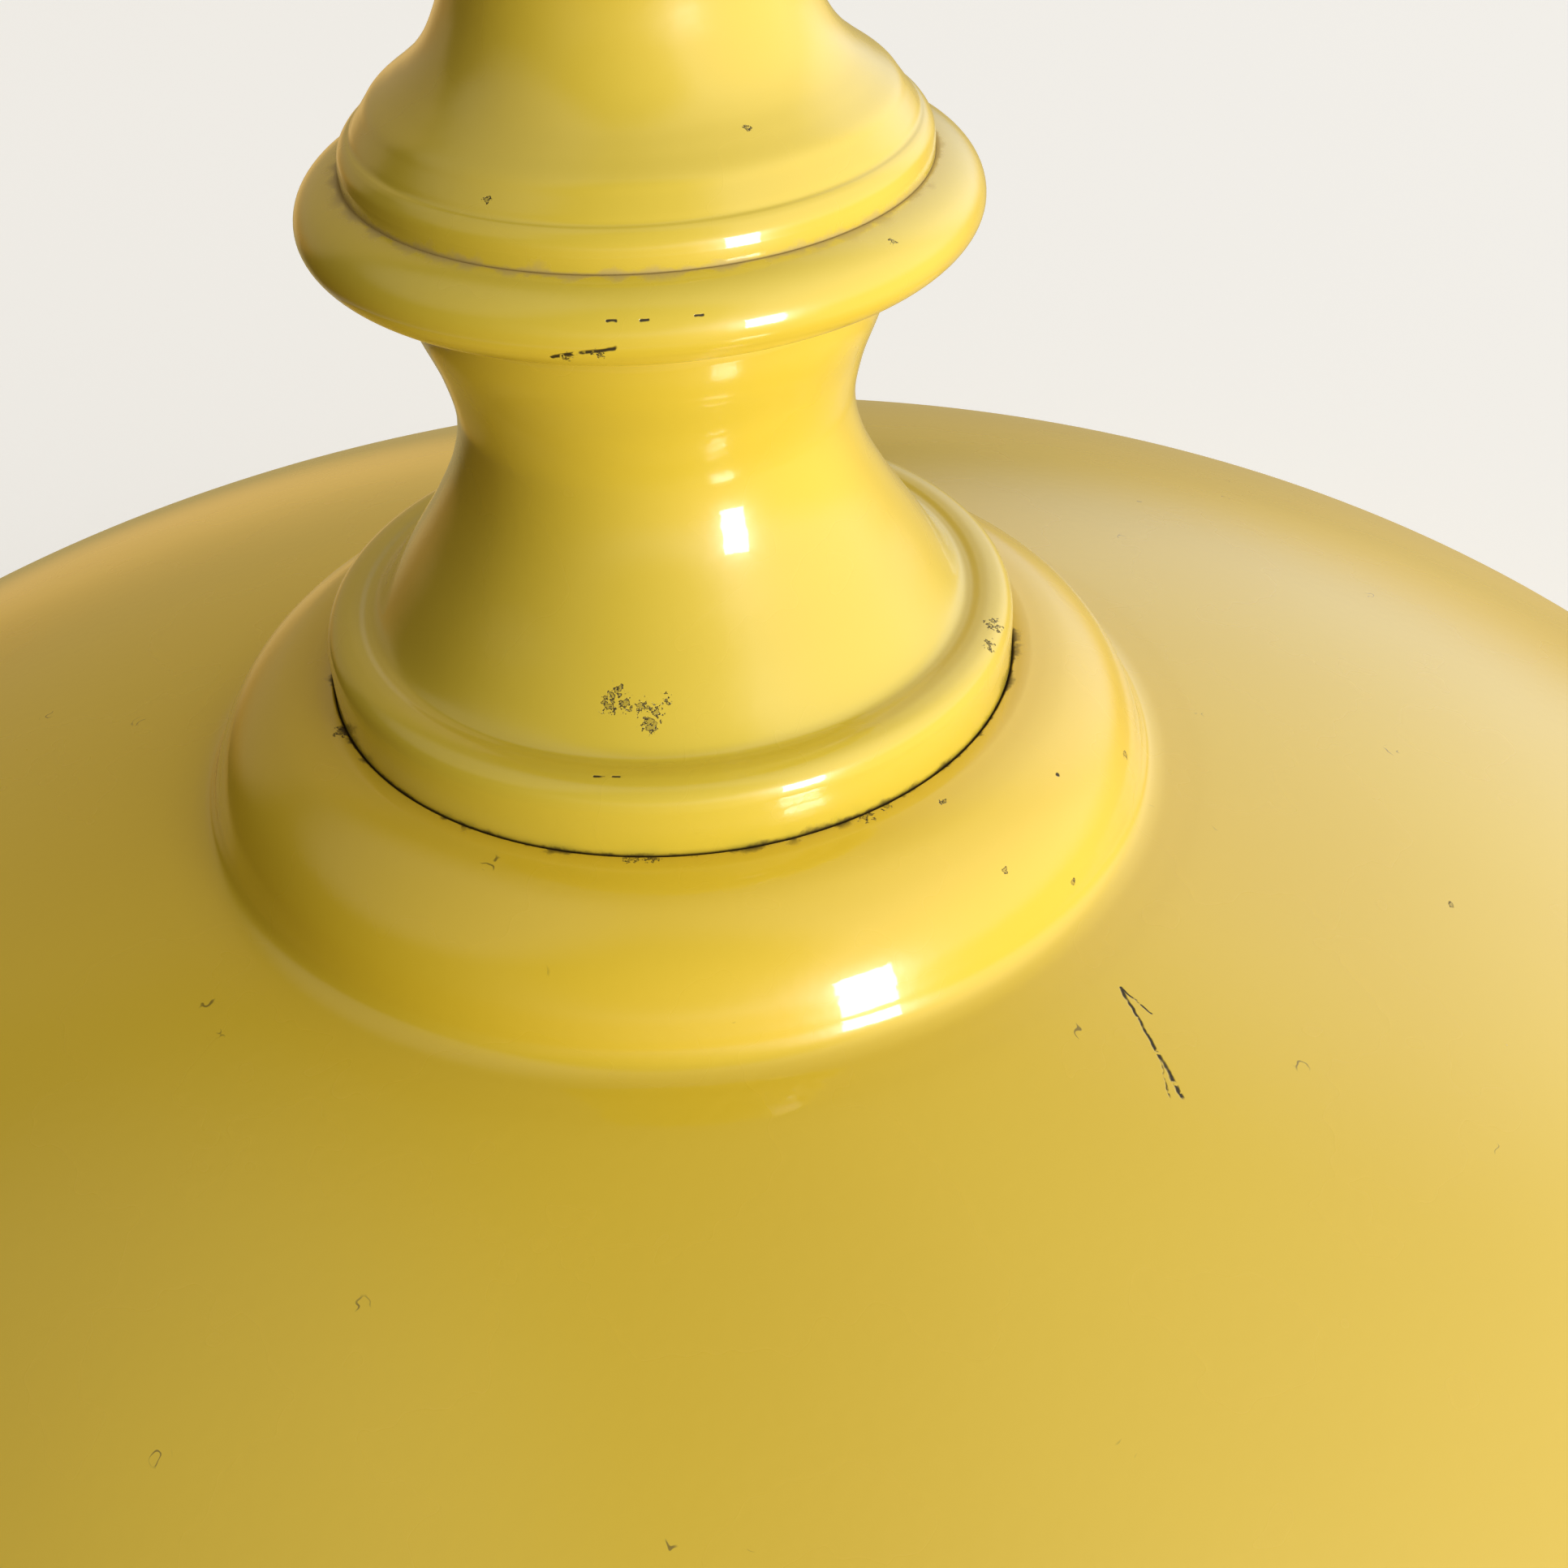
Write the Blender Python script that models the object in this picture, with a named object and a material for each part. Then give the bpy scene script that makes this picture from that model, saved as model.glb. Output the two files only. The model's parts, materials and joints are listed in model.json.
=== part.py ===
"""Pendant lamp with a wide spun dome shade and a turned, baluster-shaped crown, standing on its rim.

Metres, +Z up. The origin is the centre of the rim's resting plane. Heights in the crown, the
lampholder and the bulb are measured from the seat, the plane of the shade's collar that the crown
stands in, and SEAT_HEIGHT lifts them into place.
"""

import math

import bmesh
import bpy

MM = 0.001
GAP = 0.3 * MM  # clearance between pieces that touch
SHEET = 1.0 * MM  # wall of the spun sheet metal

# Shade
SHADE_RADIUS = 225.0 * MM
DOME_RADIUS = 405.0 * MM  # radius of the sphere that the dome is part of
SHOULDER_RADIUS = 45.0 * MM  # the arc that turns the dome down into the skirt
SKIRT_SLOPE = math.radians(82)
SKIRT_LENGTH = 12.0 * MM
HEM = 4.0 * MM  # width of the rolled rim
SEAT_DEPTH = 1.6 * MM  # how deep the crown sits in the collar
SEAT_CLEARANCE = 0.6 * MM  # the dark seam round the crown's foot
COLLAR_RADIUS = 69.3 * MM
COLLAR_DROP = 17.5 * MM  # from the seat down to the dome at the collar's foot

# Crown
FOOT_RADIUS = 50.0 * MM
FOOT_HEIGHT = 9.6 * MM
FOOT_EDGE = 2.4 * MM
WAIST_RADIUS = 27.2 * MM
WAIST_HEIGHT = 40.0 * MM
SPOOL_HEIGHT = 61.0 * MM
BELL_RADIUS = 37.5 * MM
BELL_LIP = 7.6 * MM
BELL_EDGE = 1.9 * MM
BELL_SINK = 1.2 * MM  # how deep the bell sits in the ring
BELL_TOP_RADIUS = 20.4 * MM
BELL_HEIGHT = 34.0 * MM
RING_HEIGHT = 11.5 * MM
RING_OVERHANG = 6.5 * MM  # how far the ring stands out from the bell
RING_UNDERCUT = 5.3 * MM  # how far the spool's top stands in from the bell
RING_BULGE = 7.1 * MM
RING_WEB = 3.0 * MM
CAP_OVERHANG = 4.0 * MM  # how far the cap's bead stands out from the bell's top
CAP_BEAD = 2.9 * MM
CAP_HEIGHT = 17.3 * MM

# Stem, M10 x 1 hollow threaded rod, with its nuts and washers
STEM_RADIUS = 4.9 * MM
STEM_WALL = 1.3 * MM
STEM_CLEARANCE = 0.4 * MM
NUT_WALL = 1.7 * MM
NUT_HEIGHT = 3.0 * MM
WASHER_WIDTH = 4.7 * MM
WASHER_HEIGHT = 1.2 * MM
LOCK_WASHER_WIDTH = 3.2 * MM
LOCK_WASHER_HEIGHT = 0.9 * MM

# Cord gland
GLAND_WALL = 0.9 * MM
GLAND_LEDGE = 1.4 * MM
GLAND_LEDGE_HEIGHT = 2.6 * MM
GLAND_HEIGHT = 15.0 * MM
GLAND_THREAD_DEPTH = 8.5 * MM
PINCH_SCREW_RADIUS = 1.3 * MM
PINCH_SCREW_HEAD = 2.2 * MM

# E27 thread and bulb
PITCH = 25.4 * MM / 7
THREAD_DEPTH = 0.95 * MM
CAP_CREST = 13.05 * MM
THREAD_CLEARANCE = 0.55 * MM
BULB_TIP_TOP = -1.3 * MM
BULB_CAP_TOP = -4.6 * MM
BULB_CAP_BOTTOM = -26.0 * MM
BULB_CAP_WALL = 0.5 * MM
BULB_RADIUS = 30.0 * MM
BULB_LENGTH = 105.0 * MM
GLASS_WALL = 1.0 * MM

# E27 lampholder
SLEEVE_WALL = 0.9 * MM
SLEEVE_BOTTOM = -21.5 * MM
HOLDER_THREAD_WALL = 5.1 * MM
HOLDER_BODY_WALL = 2.2 * MM
HOLDER_BODY_CLEARANCE = 3.3 * MM  # from the sleeve out to the inside of the holder's body
HOLDER_COLLAR_WIDTH = 4.0 * MM
HOLDER_COLLAR_HEIGHT = 4.0 * MM
HOLDER_MOUTH = -26.0 * MM
HOLDER_CAP_HEIGHT = 17.0 * MM
BOSS_WALL = 2.7 * MM
BOSS_HEIGHT = 8.0 * MM
INSERT_HEIGHT = 10.4 * MM
SHADE_HOLE_CLEARANCE = 1.1 * MM
CLAMP_RING_WALL = 4.2 * MM
CLAMP_RING_LEDGE = 3.6 * MM
CLAMP_RING_LEDGE_HEIGHT = 2.4 * MM
CLAMP_RING_HEIGHT = 9.0 * MM
TERMINAL_OFFSET = 9.5 * MM
TERMINAL_SIZE = (6.0 * MM, 8.0 * MM, 6.5 * MM)
TERMINAL_SCREW_RADIUS = 1.6 * MM
TERMINAL_SCREW_HEAD = 2.7 * MM
TERMINAL_SCREW_HEAD_HEIGHT = 1.8 * MM
TONGUE_REACH = 8.6 * MM  # from the axis back to the line that the contact tongue bends about
TONGUE_TAIL = 2.4 * MM
TONGUE_WIDTH = 5.0 * MM
TONGUE_THICKNESS = 0.6 * MM

WIDE_SEGMENTS = 40
CROWN_SEGMENTS = 24
HOLDER_SEGMENTS = 20
SMALL_SEGMENTS = 16
THREAD_SEGMENTS = 18
SCREW_SEGMENTS = 10

# ---------------------------------------------------------------- sizes that follow from the ones above

STEM_BORE = STEM_RADIUS - STEM_WALL
STEM_HOLE = STEM_RADIUS + STEM_CLEARANCE
GLAND_RADIUS = STEM_HOLE + GLAND_WALL
GLAND_LEDGE_RADIUS = GLAND_RADIUS + GLAND_LEDGE
BOSS_RADIUS = STEM_HOLE + BOSS_WALL

THREAD_ROOT = CAP_CREST - THREAD_DEPTH
SLEEVE_INNER = CAP_CREST + THREAD_CLEARANCE
SLEEVE_OUTER = SLEEVE_INNER + SLEEVE_WALL
HOLDER_BORE = SLEEVE_OUTER + GAP
HOLDER_THREAD_RADIUS = HOLDER_BORE + HOLDER_THREAD_WALL
HOLDER_BODY_BORE = SLEEVE_OUTER + HOLDER_BODY_CLEARANCE
HOLDER_BODY_RADIUS = HOLDER_BODY_BORE + HOLDER_BODY_WALL
SHADE_HOLE = HOLDER_THREAD_RADIUS + SHADE_HOLE_CLEARANCE

SPOOL_TOP_RADIUS = BELL_RADIUS - RING_UNDERCUT
RING_RADIUS = BELL_RADIUS + RING_OVERHANG
CAP_RADIUS = BELL_TOP_RADIUS + CAP_OVERHANG
RECESS_RADIUS = FOOT_RADIUS + SEAT_CLEARANCE

# The dome's sphere meets the collar's foot, and the shoulder's arc touches both the sphere and the skirt.
DOME_CENTRE = -COLLAR_DROP - math.sqrt(DOME_RADIUS**2 - COLLAR_RADIUS**2)
SKIRT_END = SHADE_RADIUS - 0.15 * HEM
SHOULDER_END = SKIRT_END - SKIRT_LENGTH * math.cos(SKIRT_SLOPE)
SHOULDER_CENTRE = SHOULDER_END - SHOULDER_RADIUS * math.sin(SKIRT_SLOPE)
DOME_SLOPE = math.asin(SHOULDER_CENTRE / (DOME_RADIUS - SHOULDER_RADIUS))
DOME_END = DOME_RADIUS * math.sin(DOME_SLOPE)
SHOULDER_LEVEL = DOME_CENTRE + (DOME_RADIUS - SHOULDER_RADIUS) * math.cos(DOME_SLOPE)
SKIRT_LEVEL = SHOULDER_LEVEL + SHOULDER_RADIUS * math.cos(SKIRT_SLOPE) - SKIRT_LENGTH * math.sin(SKIRT_SLOPE)

# Heights from the seat, from the bottom of the stack to its top
SEAT_HEIGHT = 0.5 * HEM - SKIRT_LEVEL
FOOT_BOTTOM = GAP - SEAT_DEPTH
HOLDER_COLLAR_BOTTOM = GAP - SEAT_DEPTH
CLAMP_RING_TOP = -SEAT_DEPTH - SHEET - GAP
INSERT_BOTTOM = HOLDER_COLLAR_BOTTOM + HOLDER_COLLAR_HEIGHT
INSERT_TOP = INSERT_BOTTOM + INSERT_HEIGHT
SLEEVE_TOP = INSERT_BOTTOM - GAP
HOLDER_CAP_BOTTOM = INSERT_TOP + GAP
HOLDER_CAP_TOP = HOLDER_CAP_BOTTOM + HOLDER_CAP_HEIGHT
BOSS_TOP = HOLDER_CAP_TOP + BOSS_HEIGHT
RING_BOTTOM = SPOOL_HEIGHT + GAP
RING_TOP = RING_BOTTOM + RING_HEIGHT
BELL_BOTTOM = RING_TOP - BELL_SINK + GAP
BELL_TOP = BELL_BOTTOM + BELL_HEIGHT
CAP_BOTTOM = BELL_TOP + GAP
CAP_TOP = CAP_BOTTOM + CAP_HEIGHT
GLAND_BOTTOM = CAP_TOP + GAP
GLAND_TOP = GLAND_BOTTOM + GLAND_HEIGHT
STEM_TOP = GLAND_BOTTOM + GLAND_THREAD_DEPTH - GAP

YELLOW = (0.82, 0.58, 0.06)
MATERIALS = {
    "yellow_lacquer": (YELLOW, 0.18, 0.0),
    "zinc_steel": ((0.62, 0.62, 0.6), 0.35, 1.0),
    "brass": ((0.78, 0.57, 0.23), 0.3, 1.0),
    "nickel": ((0.75, 0.73, 0.69), 0.25, 1.0),
    "nylon": ((0.86, 0.85, 0.8), 0.45, 0.0),
    "white_bakelite": ((0.83, 0.81, 0.75), 0.25, 0.0),
    "porcelain": ((0.88, 0.87, 0.83), 0.2, 0.0),
    "opal_glass": ((0.93, 0.92, 0.88), 0.15, 0.0),
    "black_glass": ((0.03, 0.03, 0.035), 0.2, 0.0),
}


# ---------------------------------------------------------------- profiles, as lists of (radius, height)


def arc(centre, radii, start, end, steps):
    """Points on an ellipse of the profile plane, from angle start to end in radians."""
    turns = [start + (end - start) * i / steps for i in range(steps + 1)]
    return [(centre[0] + radii[0] * math.cos(a), centre[1] + radii[1] * math.sin(a)) for a in turns]


def smooth(points, steps=2):
    """A Catmull-Rom curve through the points, with this many spans between each two."""
    ends = [points[0], *points, points[-1]]
    found = []
    for before, start, end, after in zip(ends, ends[1:], ends[2:], ends[3:]):
        for i in range(steps):
            t = i / steps
            found.append(tuple(
                0.5 * (2 * b + (c - a) * t + (2 * a - 5 * b + 4 * c - d) * t**2
                       + (3 * b - a - 3 * c + d) * t**3)
                for a, b, c, d in zip(before, start, end, after)))
    return [*found, points[-1]]


def offset(points, distance):
    """The line at this distance to the right of the profile's direction of travel."""
    found = []
    for i, (r, z) in enumerate(points):
        sides = []
        for a, b in ((i - 1, i), (i, i + 1)):
            if a >= 0 and b < len(points):
                dr, dz = points[b][0] - points[a][0], points[b][1] - points[a][1]
                sides.append((dz / math.hypot(dr, dz), -dr / math.hypot(dr, dz)))
        nr, nz = (sum(side[k] for side in sides) / len(sides) for k in (0, 1))
        reach = distance / max(nr * nr + nz * nz, 0.4)
        found.append((r + nr * reach, z + nz * reach))
    return found


def wall(outer):
    """The closed profile of a spun sheet whose outer face runs outwards and down from the axis."""
    return [*outer, *reversed(offset(outer, SHEET))]


def tube(inner, outer, low, high):
    return [(inner, low), (outer, low), (outer, high), (inner, high)]


# ---------------------------------------------------------------- solids


def add_object(name, bm, material, height=0.0, place=(0.0, 0.0)):
    """Makes the bmesh one named object, with its origin at this place and height."""
    bmesh.ops.recalc_face_normals(bm, faces=bm.faces)
    mesh = bpy.data.meshes.new(name)
    bm.to_mesh(mesh)
    bm.free()
    mesh.shade_smooth()
    mesh.set_sharp_from_angle(angle=math.radians(35))
    mesh.materials.append(bpy.data.materials[material])
    made = bpy.data.objects.new(name, mesh)
    made.location = (*place, height)
    bpy.context.scene.collection.objects.link(made)
    return made


def spun(profile, segments):
    """A bmesh of the profile turned once round Z. It is closed, or ends on the axis at both ends."""
    bm = bmesh.new()
    line = [bm.verts.new((r, 0.0, z)) for r, z in profile]
    edges = [bm.edges.new(pair) for pair in zip(line, line[1:])]
    if profile[0][0] > 0 and profile[-1][0] > 0:
        edges.append(bm.edges.new((line[-1], line[0])))
    bmesh.ops.spin(bm, geom=[*line, *edges], cent=(0, 0, 0), axis=(0, 0, 1),
                   angle=math.tau, steps=segments, use_merge=True, use_duplicate=False)
    bmesh.ops.remove_doubles(bm, verts=bm.verts, dist=1e-6)
    return bm


def turned(name, profile, segments, material, height=SEAT_HEIGHT):
    """A piece turned on a lathe or spun from sheet, with its heights from the seat."""
    return add_object(name, spun(profile, segments), material, height)


def hex_nut(name, bottom):
    """A thin hexagon nut round the stem."""
    bm = bmesh.new()
    rims = []
    for radius, count in (((STEM_HOLE + NUT_WALL) / math.cos(math.pi / 6), 6), (STEM_HOLE, SMALL_SEGMENTS)):
        verts = [bm.verts.new((radius * math.cos(math.tau * i / count),
                               radius * math.sin(math.tau * i / count), bottom)) for i in range(count)]
        rims += [bm.edges.new((verts[i - 1], verts[i])) for i in range(count)]
    bmesh.ops.triangle_fill(bm, edges=rims, use_beauty=True)
    lifted = bmesh.ops.extrude_face_region(bm, geom=bm.faces[:])
    moved = [v for v in lifted["geom"] if isinstance(v, bmesh.types.BMVert)]
    bmesh.ops.translate(bm, verts=moved, vec=(0, 0, NUT_HEIGHT))
    return add_object(name, bm, "zinc_steel", SEAT_HEIGHT)


def drill(target, radius, depth, place, turn=(0.0, 0.0, 0.0)):
    """Cuts a round blind hole that starts at this place and runs along the drill's own Z."""
    profile = [(0.0, 0.0), (radius, 0.0), (radius, depth), (0.0, depth)]
    cutter = add_object(target.name + "_drill", spun(profile, SCREW_SEGMENTS),
                        target.data.materials[0].name, place[2], place[:2])
    cutter.rotation_euler = turn
    cutter.hide_render = True
    cutter.display_type = "WIRE"
    boolean = target.modifiers.new("drill", "BOOLEAN")
    boolean.operation = "DIFFERENCE"
    boolean.object = cutter


def screw_profile(radius, head, head_height, bottom, seat):
    """A cheese-head screw along Z, its head's underside at the seat."""
    return [
        (0.0, bottom), (radius, bottom), (radius, seat), (head, seat),
        (head, seat + 0.6 * head_height), (0.7 * head, seat + head_height), (0.0, seat + head_height),
    ]


def cut_thread(bm, wall_radius, low, high, depth):
    """Raises a right-hand thread on the wall: a cosine ridge that climbs one pitch a turn.

    The depth is positive for a ridge that stands outwards and negative for one that stands inwards.
    The ridge fades into the wall over a quarter turn's climb at each end.
    """
    for vert in bm.verts:
        radius = math.hypot(vert.co.x, vert.co.y)
        if abs(radius - wall_radius) > 1e-5:
            continue
        share = max(0.0, min(1.0, 4 * (vert.co.z - low) / PITCH, 4 * (high - vert.co.z) / PITCH))
        turn = math.tau * vert.co.z / PITCH - math.atan2(vert.co.y, vert.co.x)
        vert.co.xy *= (radius + 0.5 * share * (depth + abs(depth) * math.cos(turn))) / radius


def thread_levels(low, high):
    """Heights along a threaded wall, five to a pitch."""
    count = math.ceil(5 * (high - low) / PITCH)
    return [low + (high - low) * i / count for i in range(count + 1)]


# ---------------------------------------------------------------- shade


def dome_point(radius):
    """The point of the dome's outer face at this radius."""
    return (radius, DOME_CENTRE + math.sqrt(DOME_RADIUS**2 - radius**2))


def collar_points():
    """The collar's outer face, from the recess down to the dome."""
    width = COLLAR_RADIUS - RECESS_RADIUS
    return smooth([
        (RECESS_RADIUS + 2.0 * MM, 0.0),
        (RECESS_RADIUS + 0.40 * width, -0.09 * COLLAR_DROP),
        (RECESS_RADIUS + 0.78 * width, -0.36 * COLLAR_DROP),
        (COLLAR_RADIUS, -0.73 * COLLAR_DROP),
        (COLLAR_RADIUS + 0.8 * MM, -0.93 * COLLAR_DROP),
        dome_point(COLLAR_RADIUS + 2.6 * MM),
        dome_point(COLLAR_RADIUS + 6.5 * MM),
    ])


def make_shade():
    """The shade, one spun sheet: seat, collar, dome, shoulder, skirt and rolled rim."""
    start = COLLAR_RADIUS + 6.5 * MM
    rings = 4
    outer = [
        (SHADE_HOLE, -SEAT_DEPTH),
        (RECESS_RADIUS, -SEAT_DEPTH),
        (RECESS_RADIUS + 0.4 * MM, -0.15 * MM),
        *collar_points(),
        *(dome_point(start + (DOME_END - start) * i / rings) for i in range(1, rings)),
        *arc((SHOULDER_CENTRE, SHOULDER_LEVEL), (SHOULDER_RADIUS, SHOULDER_RADIUS),
             math.pi / 2 - DOME_SLOPE, math.pi / 2 - SKIRT_SLOPE, 5),
        (SKIRT_END, SKIRT_LEVEL),
    ]
    inner = offset(outer, SHEET)
    hem = [(SKIRT_END + across * HEM, SKIRT_LEVEL + up * HEM) for across, up in (
        (0.15, -0.2), (-0.05, -0.42), (-0.2, -0.5), (-0.65, -0.5), (-0.85, -0.25), (-0.85, 0.2), (-0.6, 0.5))]
    inner[-1] = (inner[-1][0], SKIRT_LEVEL + 0.6 * HEM)
    turned("shade", [*outer, *hem, *reversed(inner)], WIDE_SEGMENTS, "yellow_lacquer")


# ---------------------------------------------------------------- crown


def make_spool():
    """The waisted lower part of the crown: a spun shell with a rolled foot, closed by a plate on top."""
    edge = (FOOT_RADIUS - FOOT_EDGE, FOOT_HEIGHT - FOOT_EDGE)
    above, below = SPOOL_HEIGHT - WAIST_HEIGHT, WAIST_HEIGHT - FOOT_HEIGHT
    outer = [
        (STEM_HOLE, SPOOL_HEIGHT),
        *smooth([
            (SPOOL_TOP_RADIUS - 1.2 * MM, SPOOL_HEIGHT),
            (SPOOL_TOP_RADIUS - 0.2 * MM, SPOOL_HEIGHT - 1.2 * MM),
            (WAIST_RADIUS + 2.4 * MM, WAIST_HEIGHT + 0.52 * above),
            (WAIST_RADIUS, WAIST_HEIGHT),
            (WAIST_RADIUS + 3.2 * MM, WAIST_HEIGHT - 0.38 * below),
            (WAIST_RADIUS + 10.0 * MM, WAIST_HEIGHT - 0.74 * below),
            (FOOT_RADIUS - 6.8 * MM, FOOT_HEIGHT + 0.2 * MM),
            (FOOT_RADIUS - 4.4 * MM, FOOT_HEIGHT - 0.1 * MM),
        ]),
        *arc(edge, (FOOT_EDGE, FOOT_EDGE), math.pi / 2, 0.0, 3),
        (FOOT_RADIUS, FOOT_BOTTOM),
    ]
    turned("crown_spool", wall(outer), CROWN_SEGMENTS, "yellow_lacquer")


def make_ring():
    """The beaded ring between the spool and the bell, with a recess for the bell's lip."""
    centre = (RING_RADIUS - RING_BULGE, RING_BOTTOM + 0.51 * RING_HEIGHT)
    recess = BELL_RADIUS + 0.5 * MM
    pocket = BELL_RADIUS - 6.0 * MM
    turned("crown_ring", [
        (STEM_HOLE, RING_BOTTOM),
        (SPOOL_TOP_RADIUS, RING_BOTTOM),
        (SPOOL_TOP_RADIUS + 1.1 * MM, RING_BOTTOM + 0.08 * RING_HEIGHT),
        *arc(centre, (RING_BULGE, 0.29 * RING_HEIGHT), -1.75, 0.0, 5),
        *arc(centre, (RING_BULGE, 0.43 * RING_HEIGHT), 0.3, 1.2, 3),
        (recess + 0.3 * MM, RING_TOP),
        (recess, RING_TOP - 0.3 * MM),
        (recess, RING_TOP - BELL_SINK),
        (pocket, RING_TOP - BELL_SINK),
        (pocket, RING_BOTTOM + RING_WEB),
        (STEM_HOLE, RING_BOTTOM + RING_WEB),
    ], CROWN_SEGMENTS, "yellow_lacquer")


def make_bell():
    """The flared upper part of the crown, a spun shell like the spool."""
    lip = BELL_BOTTOM + BELL_LIP
    edge = (BELL_RADIUS - BELL_EDGE, lip - BELL_EDGE)
    rise = BELL_TOP - lip
    outer = [
        (STEM_HOLE, BELL_TOP),
        *smooth([
            (BELL_TOP_RADIUS - 1.0 * MM, BELL_TOP),
            (BELL_TOP_RADIUS, BELL_TOP - 1.0 * MM),
            (BELL_TOP_RADIUS + 1.8 * MM, lip + 0.62 * rise),
            (BELL_TOP_RADIUS + 5.2 * MM, lip + 0.37 * rise),
            (BELL_RADIUS - 7.5 * MM, lip + 0.21 * rise),
            (BELL_RADIUS - 3.3 * MM, lip + 0.09 * rise),
            (BELL_RADIUS - 2.6 * MM, lip + 0.3 * MM),
        ]),
        *arc(edge, (BELL_EDGE, BELL_EDGE), math.pi / 2, 0.0, 3),
        (BELL_RADIUS, BELL_BOTTOM),
    ]
    turned("crown_bell", wall(outer), CROWN_SEGMENTS, "yellow_lacquer")


def make_cap():
    """The small domed cap that closes the crown and carries the gland."""
    flat = GLAND_LEDGE_RADIUS + 0.9 * MM
    bead = CAP_RADIUS - CAP_BEAD
    outer = [
        (STEM_HOLE, CAP_TOP),
        *smooth([
            (flat, CAP_TOP),
            (0.5 * (flat + bead) - 1.0 * MM, CAP_TOP - 2.6 * MM),
            (bead - 2.6 * MM, CAP_BOTTOM + 2 * CAP_BEAD + 3.6 * MM),
            (bead - 1.6 * MM, CAP_BOTTOM + 2 * CAP_BEAD + 0.2 * MM),
        ]),
        *arc((bead, CAP_BOTTOM + CAP_BEAD), (CAP_BEAD, CAP_BEAD), math.pi / 2, -math.pi / 2, 6),
        (bead - 4.0 * MM, CAP_BOTTOM),
    ]
    turned("crown_cap", wall(outer), CROWN_SEGMENTS, "yellow_lacquer")


# ---------------------------------------------------------------- stem, nuts and gland


def make_stem():
    """The hollow rod that holds the stack together, with a nut and washer under the spool's plate."""
    turned("stem", tube(STEM_BORE, STEM_RADIUS, HOLDER_CAP_TOP, STEM_TOP), SMALL_SEGMENTS, "zinc_steel")
    washer = SPOOL_HEIGHT - SHEET - GAP - WASHER_HEIGHT
    turned("stem_washer", tube(STEM_HOLE, STEM_HOLE + WASHER_WIDTH, washer, washer + WASHER_HEIGHT),
           SMALL_SEGMENTS, "zinc_steel")
    hex_nut("stem_nut", washer - GAP - NUT_HEIGHT)
    lock = BOSS_TOP + GAP
    turned("lock_washer", tube(STEM_HOLE, STEM_HOLE + LOCK_WASHER_WIDTH, lock, lock + LOCK_WASHER_HEIGHT),
           SMALL_SEGMENTS, "zinc_steel")
    hex_nut("lock_nut", lock + LOCK_WASHER_HEIGHT + GAP)


def make_gland():
    """The nylon cord grip screwed on the stem's top end, and the side screw that pinches the cord."""
    seat = GLAND_BOTTOM + GLAND_THREAD_DEPTH
    round_over = 1.4 * MM
    gland = turned("cord_gland", [
        (STEM_HOLE, GLAND_BOTTOM),
        (GLAND_LEDGE_RADIUS, GLAND_BOTTOM),
        (GLAND_LEDGE_RADIUS, GLAND_BOTTOM + GLAND_LEDGE_HEIGHT),
        (GLAND_RADIUS, GLAND_BOTTOM + GLAND_LEDGE_HEIGHT + 0.6 * MM),
        *arc((GLAND_RADIUS - round_over, GLAND_TOP - round_over), (round_over, round_over),
             0.0, math.pi / 2, 3),
        (STEM_BORE + 0.4 * MM, GLAND_TOP),
        (STEM_BORE, GLAND_TOP - 0.6 * MM),
        (STEM_BORE, seat),
        (STEM_HOLE, seat),
    ], SMALL_SEGMENTS, "nylon")
    level = SEAT_HEIGHT + 0.5 * (seat + GLAND_TOP)
    sideways = (0.0, math.pi / 2, 0.0)
    drill(gland, PINCH_SCREW_RADIUS + GAP, 2 * GLAND_RADIUS, (0.0, 0.0, level), sideways)
    screw = turned("pinch_screw", screw_profile(
        PINCH_SCREW_RADIUS, PINCH_SCREW_HEAD, 1.7 * MM, STEM_BORE - GAP, GLAND_RADIUS + GAP),
        SCREW_SEGMENTS, "zinc_steel", level)
    screw.rotation_euler = sideways


# ---------------------------------------------------------------- lampholder


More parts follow.
